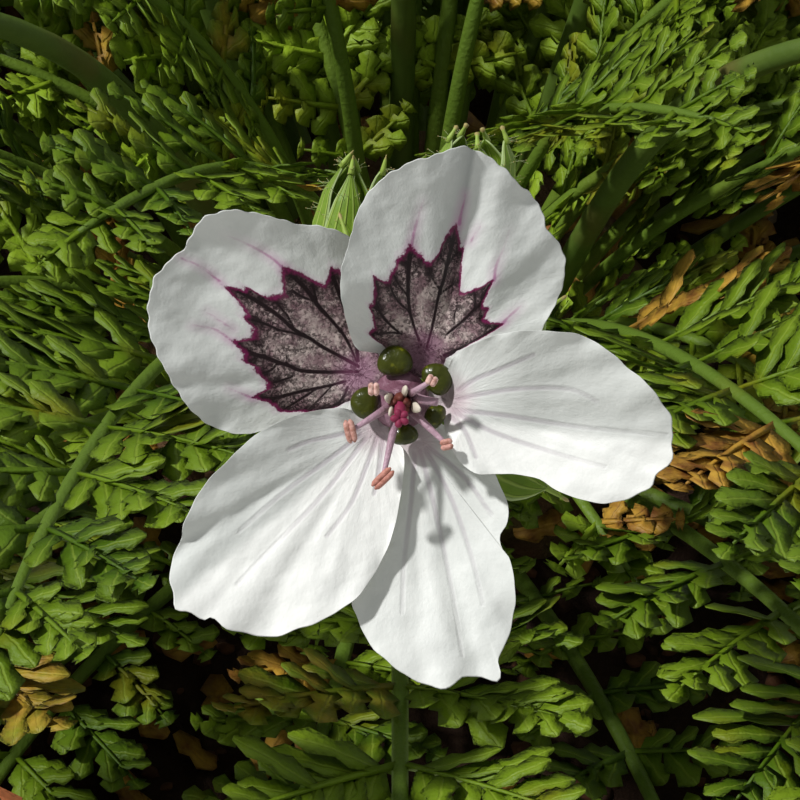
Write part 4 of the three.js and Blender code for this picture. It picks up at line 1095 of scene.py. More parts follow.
# Outlines run anticlockwise from one side of the claw to the other. blotch gives how far the dark mark
# reaches: [azimuth, distance]. A vein is [half width at its foot, at its tip, places along it]. A bend is a
# straight line with a slope on each side: [across, up, azimuth, slope on the left, on the right, step up to
# the left]. dim is painted shade: how grey the petal's white is painted left and right of such a
# line. fold is a band of painted shade along the left of it. creases are [azimuth about the
# claw, depth, half width in degrees].
PETALS = [
    {
        "name": "upper_left", "root": 152, "claw": (-1.7, 0.95), "level": 0, "cup": 2.2,
        "outline": [
            (-0.7, 1.5), (-1.1, 2.4), (-1.5, 3.4), (-1.75, 5.2), (-1.85, 6.9), (-2.2, 7.5), (-3.4, 8.05),
            (-4.8, 8.2),
            (-6.1, 8.55), (-7.6, 8.8), (-8.45, 8.7), (-9.35, 8.25), (-9.7, 7.6), (-10.05, 7.05),
            (-10.65, 6.5), (-11.3, 5.8), (-11.6, 4.95), (-11.7, 4.0), (-11.6, 3.05), (-11.25, 2.1),
            (-10.8, 1.2), (-10.1, 0.0), (-9.25, -0.95), (-8.1, -1.5), (-7.15, -1.6), (-6.4, -1.45),
            (-4.8, -1.5), (-3.0, -0.9), (-1.6, -0.2),
        ],
        "origin": (-1.95, 1.25),
        "blotch": [
            (50, 1.3), (80, 2.4), (92, 3.7), (100, 4.9), (104.5, 5.2), (107.5, 4.7), (111, 4.45), (116, 4.9),
            (121, 5.6), (125.3, 6.1), (129, 5.7), (132.8, 5.15), (138, 5.4), (141, 5.75), (142.4, 6.75),
            (144.3, 6.6), (146.8, 7.65), (149, 6.6), (152, 5.9), (154.2, 6.0), (156.4, 5.4), (161.3, 5.25),
            (163.6, 5.6), (165.6, 6.15), (168.3, 5.7), (171, 5.4), (173.9, 5.5), (176, 4.95), (180, 4.75),
            (185.6, 4.35), (190, 4.45), (192.8, 5.15), (196.5, 4.6), (201, 4.3), (206, 4.15), (212, 3.4),
            (222, 2.7), (231, 2.2), (245, 1.5), (270, 1.0),
        ],
        "veins": [
            (0.05, 0.16, [(-2.02, 1.77), (-2.56, 2.93), (-3.32, 3.86), (-3.97, 4.58), (-4.36, 5.16),
                          (-4.94, 5.73), (-5.37, 6.09)]),
            (0.04, 0.09, [(-4.0, 4.62), (-4.51, 4.8), (-5.01, 5.08)]),
            (0.04, 0.1, [(-3.35, 3.93), (-3.75, 4.22), (-4.0, 5.01), (-4.07, 5.37)]),
            (0.05, 0.04, [(-2.85, 3.21), (-2.42, 3.93), (-2.49, 4.44)]),
            (0.1, 0.14, [(-1.97, 1.85), (-2.13, 3.21), (-2.74, 4.72), (-3.07, 5.59), (-3.28, 6.16)]),
            (0.09, 0.13, [(-1.97, 1.59), (-2.96, 2.13), (-3.64, 2.49), (-4.29, 2.93), (-4.94, 3.28),
                          (-5.58, 3.86), (-6.52, 4.51), (-7.17, 4.9), (-7.82, 5.23), (-8.41, 5.52)]),
            (0.07, 0.06, [(-4.94, 3.28), (-5.23, 3.86), (-5.55, 4.29), (-5.91, 4.69)]),
            (0.06, 0.06, [(-6.81, 4.69), (-7.17, 5.08), (-7.35, 5.3)]),
            (0.06, 0.07, [(-4.29, 2.89), (-5.01, 3.14), (-5.66, 3.28), (-6.16, 3.5), (-6.66, 3.68),
                          (-7.24, 3.8)]),
            (0.04, 0.02, [(-5.58, 3.28), (-5.94, 3.18)]),
            (0.04, 0.05, [(-6.23, 4.04), (-6.38, 4.44), (-6.52, 4.72)]),
            (0.09, 0.13, [(-1.97, 1.34), (-3.43, 1.31), (-4.72, 1.4), (-5.15, 1.59), (-5.73, 1.77),
                          (-6.3, 1.99), (-6.81, 2.13), (-7.38, 2.42), (-7.92, 2.82)]),
            (0.06, 0.05, [(-6.27, 1.99), (-6.56, 2.49), (-6.88, 2.93)]),
            (0.05, 0.02, [(-5.26, 1.7), (-5.3, 1.99), (-5.44, 2.31)]),
            (0.05, 0.06, [(-4.94, 1.41), (-5.01, 1.16), (-5.58, 0.91), (-6.3, 0.73)]),
            (0.06, 0.07, [(-5.73, 1.74), (-6.02, 1.41), (-6.63, 1.2)]),
            (0.07, 0.07, [(-6.66, 2.1), (-6.95, 1.85), (-7.24, 1.85)]),
            (0.03, 0.01, [(-3.79, 2.53), (-4.58, 2.39), (-5.23, 2.31)]),
            (0.08, 0.1, [(-2.56, 0.87), (-3.71, 0.59), (-4.79, 0.37), (-5.73, 0.12), (-6.23, 0.05),
                         (-6.88, 0.1)]),
            (0.06, 0.05, [(-3.93, 0.52), (-4.43, 0.19), (-5.01, -0.17), (-5.62, -0.56)]),
            (0.05, 0.05, [(-5.8, 0.12), (-6.09, -0.17)]),
            (0.07, 0.06, [(-2.46, 0.59), (-2.71, 0.05), (-3.14, -0.28), (-3.93, -0.47), (-4.79, -0.6)]),
            (0.04, 0.04, [(-3.21, 0.66), (-3.71, 0.12), (-4.29, -0.46)]),
        ],
        "trails": [
            (0.05, 0.01, [(-8.41, 5.52), (-9.18, 6.16), (-10.2, 6.6)]),
            (0.06, 0.01, [(-5.37, 6.09), (-6.16, 6.74), (-7.24, 7.31), (-8.1, 7.67)]),
            (0.05, 0.01, [(-7.92, 2.82), (-8.6, 3.28), (-9.7, 3.5)]),
            (0.02, 0.01, [(-7.8, 3.3), (-9.0, 4.1)]),
            (0.04, 0.01, [(-6.88, 0.1), (-8.03, 0.55)]),
        ],
        "bends": [(-2.2, 1.17, 62, 0.16, 0, 0), (-5, 1.2, 180, -0.18, 0, 0), (-6, 5.4, 180, 0, 0.12, 0),
                  (-6, 7.0, 180, 0, 0.36, 0), (-8.8, 3, 90, 0.18, 0, 0)],
        "dim": (-5, 1.2, 180, 0.9, 1),
        "creases": [(118, 0.1, 4), (138, 0.1, 4), (163, 0.09, 4), (182, 0.1, 3), (150, -0.08, 4)],
    },
    {
        "name": "upper_right", "root": 66, "claw": (0.7, 1.95), "level": 1.1, "cup": 2.2,
        "outline": [
            (1.6, 1.1), (3.0, 1.5), (4.9, 2.2), (6.5, 3.1), (6.95, 3.85), (7.45, 4.8), (7.7, 5.65),
            (7.75, 6.6), (7.45, 7.4), (6.95, 7.9), (6.7, 8.7), (6.35, 9.4), (5.55, 10.1), (4.85, 10.8),
            (4.15, 11.3), (3.45, 11.65), (2.75, 11.75), (2.35, 11.65), (1.65, 11.35), (0.6, 11.05),
            (-0.1, 10.7), (-0.8, 10.25), (-1.6, 9.4), (-2.05, 8.45), (-2.35, 7.3), (-2.7, 6.1),
            (-2.75, 4.95), (-2.45, 3.5), (-2.2, 2.7), (-1.85, 2.3), (-1.2, 2.5), (-0.1, 2.15),
        ],
        "origin": (1.08, 2.16),
        "blotch": [
            (-10, 1.1), (5, 1.6), (12, 2.3), (17, 3.3), (20.3, 4.1), (25, 3.45), (30, 3.3), (34.7, 3.75),
            (38, 3.6), (41.5, 3.85), (46.6, 4.85), (49, 4.1), (51.4, 3.95), (55, 3.5), (59, 3.4),
            (63, 3.9), (66.9, 4.6), (69, 5.4), (71, 5.35), (73, 5.8), (75.5, 6.25), (78.7, 5.75),
            (81.4, 4.75), (85, 4.3), (88, 4.3), (91, 4.6), (94, 4.8), (96.9, 5.15), (101, 4.75),
            (105.3, 4.6), (108.5, 4.2), (111.6, 4.1), (115, 3.8), (118.5, 3.75), (122.5, 4.35),
            (125.5, 3.9), (130.3, 3.6), (135, 3.3), (139, 3.4), (143, 2.95), (152, 2.6), (160, 2.75),
            (168, 1.9), (185, 1.2),
        ],
        "veins": [
            (0.05, 0.15, [(0.99, 2.56), (0.66, 3.42), (0.45, 4.22), (0.38, 4.93), (0.38, 5.65), (0.41, 6.23),
                          (0.51, 7.02)]),
            (0.05, 0.05, [(0.43, 4.14), (-0.06, 4.57), (-0.38, 5.08), (-0.47, 5.58)]),
            (0.05, 0.06, [(0.36, 4.86), (-0.06, 5.37), (-0.27, 5.8), (-0.43, 6.05)]),
            (0.04, 0.05, [(0.39, 5.65), (0.77, 6.09), (1.1, 6.73)]),
            (0.12, 0.08, [(0.41, 6.3), (0.02, 6.55), (-0.09, 6.66)]),
            (0.05, 0.13, [(1.25, 2.42), (1.53, 3.5), (1.67, 4.22), (1.82, 4.93), (2.05, 5.65), (2.21, 6.37),
                          (2.39, 7.09), (2.53, 7.67), (2.76, 8.28)]),
            (0.05, 0.04, [(1.82, 5.22), (1.49, 5.73), (1.31, 6.23), (1.24, 6.48)]),
            (0.05, 0.06, [(2.14, 6.37), (1.92, 6.66), (1.85, 6.95)]),
            (0.08, 0.06, [(2.46, 7.38), (2.25, 7.67), (2.21, 7.88)]),
            (0.06, 0.05, [(1.87, 4.97), (2.32, 5.29), (2.84, 5.67)]),
            (0.06, 0.06, [(2.21, 6.3), (2.53, 6.73), (2.97, 7.09)]),
            (0.06, 0.11, [(2.17, 3.06), (2.61, 3.42), (3.04, 3.78), (3.47, 4.22), (3.82, 4.57), (4.05, 5.08),
                          (4.41, 5.62)]),
            (0.04, 0.04, [(2.57, 3.39), (2.53, 3.93), (2.69, 4.36)]),
            (0.08, 0.08, [(3.51, 4.25), (3.51, 4.79), (3.43, 5.15)]),
            (0.08, 0.05, [(3.69, 4.43), (4.12, 4.32)]),
            (0.09, 0.09, [(2.07, 2.09), (3.04, 2.49), (3.76, 2.91), (4.33, 3.28), (4.8, 3.58)]),
            (0.04, 0.05, [(3.94, 3.14), (4.12, 3.5), (3.76, 3.82)]),
            (0.05, 0.12, [(-0.06, 3.17), (-0.45, 3.5), (-0.85, 3.96), (-1.06, 4.36), (-1.19, 4.93),
                          (-1.24, 5.76)]),
            (0.09, 0.06, [(-0.99, 4.22), (-1.42, 4.42)]),
            (0.05, 0.05, [(0.09, 3.1), (-0.42, 3.15), (-0.99, 3.08), (-1.44, 3.21)]),
        ],
        "trails": [
            (0.07, 0.02, [(0.51, 7.0), (0.66, 7.8), (0.88, 8.6), (1.1, 9.3)]),
            (0.09, 0.01, [(2.76, 8.2), (2.9, 8.9), (3.05, 9.6)]),
            (0.07, 0.01, [(4.8, 3.58), (5.12, 3.93), (5.7, 4.43)]),
            (0.07, 0.02, [(4.41, 5.62), (4.48, 6.23), (4.84, 7.09), (5.12, 7.96)]),
            (0.01, 0.01, [(3.3, 7.4), (3.75, 8.1)]),
        ],
        "bends": [(2.7, 7.05, 80, 0.32, -0.08, 0.9), (4.3, 6.7, 84, 0, -0.66, 0), (5.2, 4.8, 42, 0, 0.42, 0)],
        "dim": (2.7, 7.05, 80, 1, 0.9), "fold": 0.8,
        "creases": [(56, 0.1, 4), (90, 0.09, 4), (30, 0.12, 4), (104, 0.08, 4), (42, -0.1, 4)],
    },
    {
        "name": "right", "root": 0, "claw": (2.3, 0), "level": 1.9, "cup": 1.4,
        "outline": [
            (1.95, -0.5), (2.1, -1.4), (2.5, -2.45), (2.95, -3.05), (3.65, -3.45), (5.25, -3.45),
            (6.5, -3.7), (7.2, -4.15), (8.15, -4.55), (9.3, -4.8), (10.35, -4.7), (11.2, -4.3),
            (11.7, -4.0), (12.0, -3.45), (12.5, -2.95), (12.7, -2.6), (12.6, -2.05), (12.7, -1.65),
            (12.6, -1.1), (12.5, -0.7), (12.15, -0.15), (11.65, 0.5), (10.6, 1.45), (9.5, 2.35),
            (8.5, 2.95), (7.3, 3.15), (6.25, 3.2), (4.85, 3.1), (3.75, 2.75), (2.5, 2.0), (2.0, 0.8),
        ],
        "veins": [
            (0.03, 0.01, [(2.51, -0.47), (5.06, -0.74), (8.06, -1.22), (12.4, -1.64)]),
            (0.03, 0.01, [(2.51, -0.55), (4.31, -1.49), (7.31, -2.5), (9.56, -3.13)]),
            (0.03, 0.01, [(2.66, 0.01), (3.56, 0.24), (5.81, 0.54), (8.06, 0.46), (9.2, -0.1)]),
            (0.03, 0.01, [(2.74, 0.46), (3.56, 0.99), (4.31, 1.29), (6.2, 2.1)]),
            (0.03, 0.01, [(2.29, -0.74), (2.96, -1.34), (3.56, -2.68)]),
        ],
        "bends": [(4.6, -1.12, -5.7, 0.66, 0, 0)],
        "dim": (4.6, -1.12, -5.7, 1, 0.1),
        "creases": [(12, 0.12, 4), (24, 0.1, 4), (-24, 0.05, 2.5), (1, -0.07, 4), (-17, 0.05, 2)],
    },
    {
        "name": "bottom", "root": -68, "claw": (0.85, -1.9), "level": 0, "cup": 1.2,
        "outline": [
            (-0.1, -1.8), (-0.25, -3.4), (-0.85, -5.4), (-1.7, -7.6), (-2.25, -9.45), (-2.0, -10.2),
            (-1.65, -11.05), (-1.05, -11.8), (-0.2, -12.55), (0.95, -13.2), (1.8, -13.5), (2.55, -13.25),
            (2.95, -12.95), (3.65, -13.0), (4.6, -13.1), (4.72, -12.8), (4.6, -12.2), (5.0, -11.3),
            (5.35, -10.05), (5.4, -9.05), (5.15, -7.45), (4.75, -6.9), (4.7, -6.4), (5.0, -5.85),
            (5.1, -5.15), (4.75, -4.1), (4.3, -3.2), (3.3, -2.1), (1.9, -1.1),
        ],
        "veins": [
            (0.03, 0.01, [(0.95, -2.4), (1.5, -4.5), (2.1, -7.2), (2.6, -9.8), (2.9, -12)]),
            (0.03, 0.01, [(1.2, -2.3), (2.4, -4.6), (3.4, -7.5), (3.9, -9.6)]),
            (0.03, 0.01, [(0.7, -2.5), (0.5, -5), (0.2, -7.5), (0.1, -10)]),
            (0.03, 0.01, [(1.35, -2.2), (3.0, -3.6), (4.3, -5.4)]),
        ],
        "bends": [(1.8, -6.6, -76, 0.05, 0.1, 0)],
        "dim": (1.8, -6.6, -76, 0.85, 0.65),
        "creases": [(-76, 0.16, 3.5), (-90, 0.07, 3), (-63, 0.08, 3), (-83, -0.06, 3)],
    },
    {
        "name": "lower_left", "root": -130, "claw": (-1.0, -1.3), "level": 0.75, "cup": 1.9,
        "outline": [
            (-1.5, -0.8), (-2.55, -0.4), (-3.25, -0.4), (-4.5, -0.6), (-5.45, -0.95), (-6.7, -1.6),
            (-7.8, -2.6), (-8.8, -3.6), (-9.5, -4.55), (-10.0, -5.65), (-10.2, -6.4), (-10.6, -7.4),
            (-10.7, -8.25), (-10.6, -9.0), (-10.4, -9.7), (-9.85, -9.85), (-9.1, -10.25), (-8.85, -10.15),
            (-8.05, -10.6), (-7.2, -10.9), (-5.95, -11.05), (-5.2, -10.85), (-4.45, -10.6), (-3.5, -10.2),
            (-2.8, -9.8), (-2.25, -9.45), (-1.4, -8.45), (-0.8, -7.4), (-0.3, -6.15), (-0.05, -4.95),
            (0.15, -3.65), (0.2, -2.95), (0.1, -2.2), (-0.5, -1.8),
        ],
        "veins": [
            (0.03, 0.01, [(-1.54, -1.72), (-3.41, -4.2), (-5.36, -6.29), (-6.41, -7.34), (-7.6, -8.6)]),
            (0.03, 0.01, [(-1.01, -1.65), (-1.61, -3.22), (-2.29, -4.87), (-3.41, -6.37)]),
            (0.03, 0.01, [(-1.91, -1.42), (-3.11, -1.69), (-4.31, -1.95), (-5.21, -2.32)]),
            (0.03, 0.01, [(-0.79, -1.72), (-0.94, -3.0), (-1.2, -4.4)]),
            (0.03, 0.01, [(-1.8, -1.6), (-3.2, -2.7), (-5.4, -4.3), (-7.6, -6.2)]),
        ],
        "bends": [(-2.44, -2.6, -140, 0.03, 0.42, 0)],
        "dim": (-2.44, -2.6, -140, 0, 1),
        "creases": [(-149, 0.2, 3), (-160, 0.08, 4), (-122, 0.2, 4), (-108, -0.08, 4), (-133, 0.05, 2)],
    },
]


def rise(x, low, high):
    """The smooth step from 0 at low to 1 at high."""
    t = np.clip((np.asarray(x) - low) / (high - low), 0, 1)
    return t * t * (3 - 2 * t)


def beside(x, y, line):
    """How far a place lies to the left of a line, given as across, up and azimuth."""
    across, up, az = line
    return (y - up) * math.cos(rad(az)) - (x - across) * math.sin(rad(az))


def petal_height(x, y, shape):
    """Height of a petal's middle surface."""
    far = np.hypot(x, y)
    r = far / PETAL_SIZE
    height = shape["level"] * rise(far, LEVEL_FROM, LEVEL_TO) + shape["cup"] * r * r
    height += PETAL_WAVE * r * np.sin(0.55 * x + 1) * np.cos(0.5 * y)
    grow = rise(far, BEND_FROM, BEND_TO)
    for *line, left, right, step in shape["bends"]:
        off = beside(x, y, line)
        soft = BEND_SOFT * np.log1p(np.exp(-np.abs(off) / BEND_SOFT))
        height += grow * (left * (np.maximum(0, off) + soft) + right * (np.maximum(0, -off) + soft))
        height += grow * step * (1 - np.exp(-np.maximum(0, off) / STEP_RUN))
    return height


def about(x, y, centre):
    """Azimuth in degrees and distance about a centre."""
    dx, dy = x - centre[0], y - centre[1]
    return np.degrees(np.arctan2(dy, dx)), np.hypot(dx, dy)


def near_turn(az, middle):
    """The same azimuth, brought within half a turn of the middle one."""
    return middle + (az - middle + 180) % 360 - 180


def mottle(x, y, size):
    """Soft irregular bumps from about -1 to 1, with spots of a size."""
    total = np.zeros_like(x)
    waves = 11
    for k in range(waves):
        turn = spread(k, 61, math.pi)
        wave = math.pi / (size * (1 + spread(k, 62, 0.45)))
        total += np.sin(wave * (x * math.cos(turn) + y * math.sin(turn)) + spread(k, 63, 9))
    return total / waves ** 0.5


def puckers(x, y, v, shape):
    """Fine relief of a real petal: creases along it, small puckers, and a waved edge."""
    az, far = about(x, y, shape["claw"])
    az = near_turn(az, shape["root"])
    out = rise(far, 1.5, 6) * far / 8
    height = np.zeros_like(x)
    for crease, depth, width in shape["creases"]:
        height -= depth * np.exp(-((az - near_turn(crease, shape["root"])) / width) ** 2)
    height += 0.035 * mottle(x, y, 1.5) + 0.02 * mottle(np.radians(az) * 9, far * 0.45, 0.8)
    height += 0.012 * mottle(x + 3, y - 5, 0.55)
    edge = 0.16 * v ** 10 * np.sin(az * 0.33) * np.sin(az * 0.11 + 2)
    return height * out + edge


def nearest_vein(x, y, veins):
    """How far each place is from the edge of the nearest vein, below 0 inside one."""
    least = np.full_like(x, 9.0)
    for foot, tip, places in veins:
        line = smooth_path([(*place, 0) for place in places], 3 * len(places))[:, :2]
        count = len(line) - 1
        for n in range(count):
            way = line[n + 1] - line[n]
            dx, dy = x - line[n, 0], y - line[n, 1]
            share = np.clip((dx * way[0] + dy * way[1]) / (way @ way), 0, 1)
            half = VEIN_FULLNESS * (foot + (tip - foot) * (n + share) / count)
            least = np.minimum(least, np.hypot(dx - share * way[0], dy - share * way[1]) - half)
    return least


def petal(heap, shape, place, columns, rows, thick):
    """Lays one petal as a thin closed sheet that fans out from its claw."""
    first, last = [HUB_RADIUS * towards(shape["root"] + turn, 0) for turn in (-CLAW_HALF, CLAW_HALF)]
    rim = smooth_path([first, *[(x, y, 0) for x, y in shape["outline"]], last], columns)[:, :2]
    wave = 1 + RIM_WAVE * np.sin(np.arange(columns) * 0.9) * np.sin(np.arange(columns) * 0.23)
    claw = np.array(shape["claw"])
    rim = claw + (rim - claw) * wave[:, None]
    v = np.append(RIM_START * np.linspace(0, 1, rows)[1:] ** 0.85, 1)
    grid = claw + v[:, None, None] * (rim - claw)
    x, y = grid[..., 0].ravel(), grid[..., 1].ravel()
    v = np.repeat(v, columns)
    x, y, v = np.append(x, claw[0]), np.append(y, claw[1]), np.append(v, 0)
    height = petal_height(x, y, shape) + puckers(x, y, v, shape)
    front = np.stack([x, y, height], 1)
    back = np.stack([x, y, height - thick * np.sqrt(1 - v ** 20)], 1)
    count = len(x)
    centre = count - 1
    faces = []
    for k in range(columns):
        turn = (k + 1) % columns
        faces.append([centre, k, turn])
        faces.append([count + centre, count + turn, count + k])
        for n in range(rows - 1):
            a, b = n * columns + k, n * columns + turn
            faces.append([a, a + columns, b + columns, b])
            # The back's last row of faces ends on the front's rim, so the sheet is closed.
            next_row = columns if n == rows - 2 else columns + count
            faces.append([count + a, count + b, b + next_row, a + next_row])
    az, far = about(x, y, shape.get("origin", shape["claw"]))
    az = near_turn(az, shape["root"])
    # Painted shade: each place's grey share from the dim line, and a dark band of painted shade left of it
    # along a fold.
    *line, painted_dim_left, painted_dim_right = shape["dim"]
    off = beside(x, y, line)
    left = rise(off, -PAINTED_DIM_BLUR, PAINTED_DIM_BLUR)
    fold = shape.get("fold", 0) * rise(far, 3, 6) * rise(off, -0.12, 0.14)
    values = {
        "far": far, "turn": az, "vein": nearest_vein(x, y, shape["veins"]),
        "dim": painted_dim_left * left + painted_dim_right * (1 - left),
        "fold": fold * np.exp(-np.maximum(0, off) / PAINTED_FOLD_FADE),
    }
    if "blotch" in shape:
        turns = [near_turn(a, shape["root"]) for a, _ in shape["blotch"]]
        values["reach"] = far / np.interp(az, turns, [r for _, r in shape["blotch"]])
        values["trail"] = nearest_vein(x, y, shape["trails"])
    corners = put(np.concatenate([front, back]), place)
    heap.add(corners, faces, **{key: np.tile(value, 2) for key, value in values.items()})


WHITE = rgb(238, 238, 233)
PAINTED_SHADE_WHITE = rgb(198, 202, 197)
CLAW_MAUVE = rgb(162, 124, 142)


def petal_white_with_painted_shade(finish):
    """The petals' white with painted shade, patchy and greyer on the dim side and dark along a fold, with
    fine streaks along the petal.
    """
    far, turn = finish.value("far"), finish.value("turn")
    place = finish.node("ShaderNodeCombineXYZ", None, {0: turn * 0.1, 1: far * 0.45})
    streak = finish.noise(1, 5, 0.65, place)
    cloud = finish.noise(0.9, 4, 0.6)
    # Painted shade: the white is mixed toward grey in soft patches and on the dim side.
    white = finish.mix(finish.value("dim") * 0.6 + (cloud - 0.5) * 0.35, WHITE, PAINTED_SHADE_WHITE)
    # Painted shade along the fold: the white is mixed toward a dark grey.
    white = finish.mix(finish.value("fold"), white, rgb(128, 132, 132))
    return finish.mix(streak.step(0.4, 0.75) * 0.16, white, rgb(190, 193, 190)), streak


def petal_relief(finish, streak, furrows):
    """The fine grain of a petal, with furrows where the veins run."""
    grain = streak * 0.6 + finish.noise(0.7, 3) * 0.32 + finish.noise(0.15, 2) * 0.07
    finish.relief(grain - furrows, 0.11)


plain_petal = Finish("petal", gloss=0.3)
far, line = plain_petal.value("far"), plain_petal.value("vein").step(0.16, 0.02)
white, streak = petal_white_with_painted_shade(plain_petal)
white = plain_petal.mix(line * (far.step(9, 1.5) * 0.4 + 0.1), white, rgb(160, 146, 158))
claw = far.step(1.7, 0.2) * (streak * 0.7 + 0.35)
plain_petal.colour(plain_petal.mix(claw, white, rgb(194, 168, 176)))
plain_petal.roughness(streak * 0.2 + 0.45)
petal_relief(plain_petal, streak, line * 0.2)

# Inside the blotch's ragged rim the ground is pale and dusky. Veins, dark lobe ends, a net, threads and
# specks lie on it, a fringe of magenta runs round it, and fine trails lead on into the white.
blotched = Finish("petal_blotched", gloss=0.3)
far, reach = blotched.value("far"), blotched.value("reach")
place = blotched.place()
ripple = {"Vector": place, "Scale": 1 / (0.4 * MM), "Detail": 2}
sway = blotched.node("ShaderNodeTexNoise", None, ripple, "Color")
sway = blotched.node("ShaderNodeVectorMath", {"operation": "SCALE"}, {0: sway, "Scale": 0.22 * MM})
swayed = blotched.node("ShaderNodeVectorMath", {"operation": "ADD"}, {0: place, 1: sway})
vein = blotched.value("vein") + (blotched.noise(0.16, 3, 0.7) - 0.5) * 0.11
trail = blotched.value("trail") + (blotched.noise(0.4, 3) - 0.5) * 0.12
blank, streak = petal_white_with_painted_shade(blotched)
ragged = reach + (blotched.noise(0.25, 4, 0.7) - 0.5) * 0.14
inside = ragged.step(1.015, 0.985)
main = vein.step(0.055, -0.01)
patchy = blotched.noise(0.45, 3)
lobes = (reach + (patchy - 0.5) * 0.5).step(0.7, 0.94) * vein.step(0.42, 0.06)
margin = (reach + (blotched.noise(0.2, 3) - 0.5) * 0.3).step(0.88, 0.98)
net = blotched.cells(0.4, "DISTANCE_TO_EDGE", place=swayed).step(0.14, 0.03)
threads = abs(blotched.noise(0.32, 3, 0.6) - 0.5).step(0.035, 0.01)
near_vein = vein.step(0.55, 0.05) * 0.6 + reach.step(0.5, 0.95) * 0.5
net = net * (near_vein * 0.8 + 0.15) * (patchy.step(0.35, 0.55) * 0.7 + 0.3)
threads = threads * (near_vein * 0.7 + 0.25)
specks = (blotched.noise(0.16, 2, 0.6) + near_vein * 0.1).step(0.57, 0.65) * (near_vein * 0.35 + 0.6)
dark = main.most(lobes * 0.94).most(net).most(threads).most(specks).most(margin * 0.88)
ground = blotched.mix(blotched.noise(0.8, 4, 0.65).step(0.38, 0.62), rgb(138, 112, 116), rgb(204, 186, 180))
ground = blotched.mix(reach.step(0.55, 0.95) * 0.5, ground, rgb(112, 72, 84))
near_claw = far.step(1.5, 0.4)
ink = blotched.mix(blotched.noise(1.4, 2), rgb(32, 8, 18), rgb(24, 10, 12))
ink = blotched.mix(near_claw * 0.75, ink, rgb(100, 52, 78))
mark = blotched.mix(dark, blotched.mix(near_claw, ground, CLAW_MAUVE), ink)
fringe = ragged.step(0.92, 0.99) * far.step(1.4, 2.4)
mark = blotched.mix(fringe * 0.9, mark, rgb(116, 22, 76))
fade = reach.step(1.75, 1.0)
blush = trail.step(0.5, 0.0) * (fade * 0.3 + 0.05) + ragged.step(1.1, 1.0) * 0.25
blank = blotched.mix(blush, blank, rgb(200, 148, 184))
blank = blotched.mix(trail.step(0.07, -0.03) * (fade * 0.55 + 0.12), blank, rgb(160, 78, 134))
blank = blotched.mix(far.step(1.2, 0.3) * 0.8, blank, CLAW_MAUVE)
blotched.colour(blotched.mix(inside, blank, mark))
blotched.roughness(streak * 0.2 + 0.45)
petal_relief(blotched, streak, dark * inside * 0.15)

for row in STALKS:
    head = row["heads"][0]
    place = head_frame(head)
    name, node = row["name"], f"petals_{row['name']}"
    if head.get("fine"):
        for shape in PETALS:
            finish, grid = (blotched, BLOTCHED_GRID) if "blotch" in shape else (plain_petal, PLAIN_GRID)
            heap = Heap()
            petal(heap, shape, place, *grid, PETAL_THICK)
            heap.piece(f"petal_{shape['name']}", finish, "petal", node)
        continue
    upper, lower = Heap(), Heap()
    for shape in PETALS:
        petal(upper if "blotch" in shape else lower, shape, place, *SMALL_GRID, SMALL_THICK)
    upper.piece(f"petals_{name}_upper", blotched, "petal", node)
    lower.piece(f"petals_{name}_lower", plain_petal, "petal", node)


# In the middle of a bloom sit five glossy green nectar glands, in the gaps between the claws. Each is a moist
# cushion with a shallow groove over it.
GLANDS = [
    # across, up, length, width, turn
    (-0.24, 1.85, 1.7, 1.45, 4), (1.78, 1.02, 1.6, 1.35, -55), (-1.68, -0.12, 1.55, 1.3, 80),
    (1.62, -0.75, 1.2, 0.95, 60), (0.2, -1.6, 1.3, 1.0, 10),
]
GLAND_FLOOR = 0.6
GLAND_HEIGHT = 0.9

gland_finish = Finish("nectar_gland", gloss=0.35, rough=0.3, coat=0.06)
gland_colour = gland_finish.mix(gland_finish.noise(0.7, 3), rgb(36, 41, 4), rgb(72, 77, 8))
yellower = gland_finish.noise(0.35, 2).step(0.6, 0.75) * 0.5
gland_finish.colour(gland_finish.mix(yellower, gland_colour, rgb(124, 126, 34)))
gland_finish.relief(gland_finish.noise(0.4, 2), 0.08)

bpy.ops.object.select_all(action="DESELECT")
bpy.ops.mesh.primitive_uv_sphere_add(segments=28, ring_count=16, radius=1)
gland_corners, gland_faces = as_pattern(bpy.context.object)
gland_corners[:, 2] -= 0.16 * np.exp(-(gland_corners[:, 0] / 0.3) ** 2) * np.maximum(0, gland_corners[:, 2])
gland_corners[:, 1] -= 0.2 * gland_corners[:, 0] ** 2

for row in STALKS:
    place = head_frame(row["heads"][0])
    heap = Heap()
    for across, up, length, width, turn in GLANDS:
        size = np.array([length, width, GLAND_HEIGHT]) / 2
        shape = turned_about((0, 0, 1), rad(turn), gland_corners * size)
        heap.add(put(shape + [across, up, GLAND_FLOOR + GLAND_HEIGHT / 2], place), gland_faces)
    heap.piece(f"glands_of_{row['name']}", gland_finish, "nectary", f"glands_{row['name']}")


# The stamens are mauve filaments on a low lilac foot, which bend outwards and carry salmon anthers of two
# lobes. Between them stand short pale scales, and in the middle the brown seed heads with a magenta stigma.
ANTHERS = [
    # across, up, height, turn of its long side, length, colour from pale to deep
    (-1.22, 0.5, 3.4, 90, 0.62, 0.1), (1.47, 0.9, 4.0, 62, 0.5, 0.15), (2.17, -2.07, 2.6, 12, 0.6, 0.7),
    (-0.8, -3.65, 2.8, 44, 1.25, 1.0), (-2.31, -1.45, 3.3, 103, 1.12, 0.6),
]
ANTHER_WIDTH = 0.15
FILAMENT = 0.17
FILAMENT_POINTS = 14
FILAMENT_FOOT = 1.7
# Radius and height at stations up a seed head and up the lilac foot.
SEED_HEAD = [(0.25, 0), (0.3, 0.5), (0.26, 1.0), (0.16, 1.3), (0.06, 1.45)]
LILAC_FOOT = [(1.4, 0.35), (1.3, 0.6), (1.0, 0.85), (0.7, 1.3), (0.5, 1.9)]
SCALE_PLACES = [(0.28, 0.5), (-0.62, 0.1), (0.85, -0.4), (0.3, -0.95), (-0.45, -0.6)]
STIGMA = np.array([0.0, -0.85, 3.2])

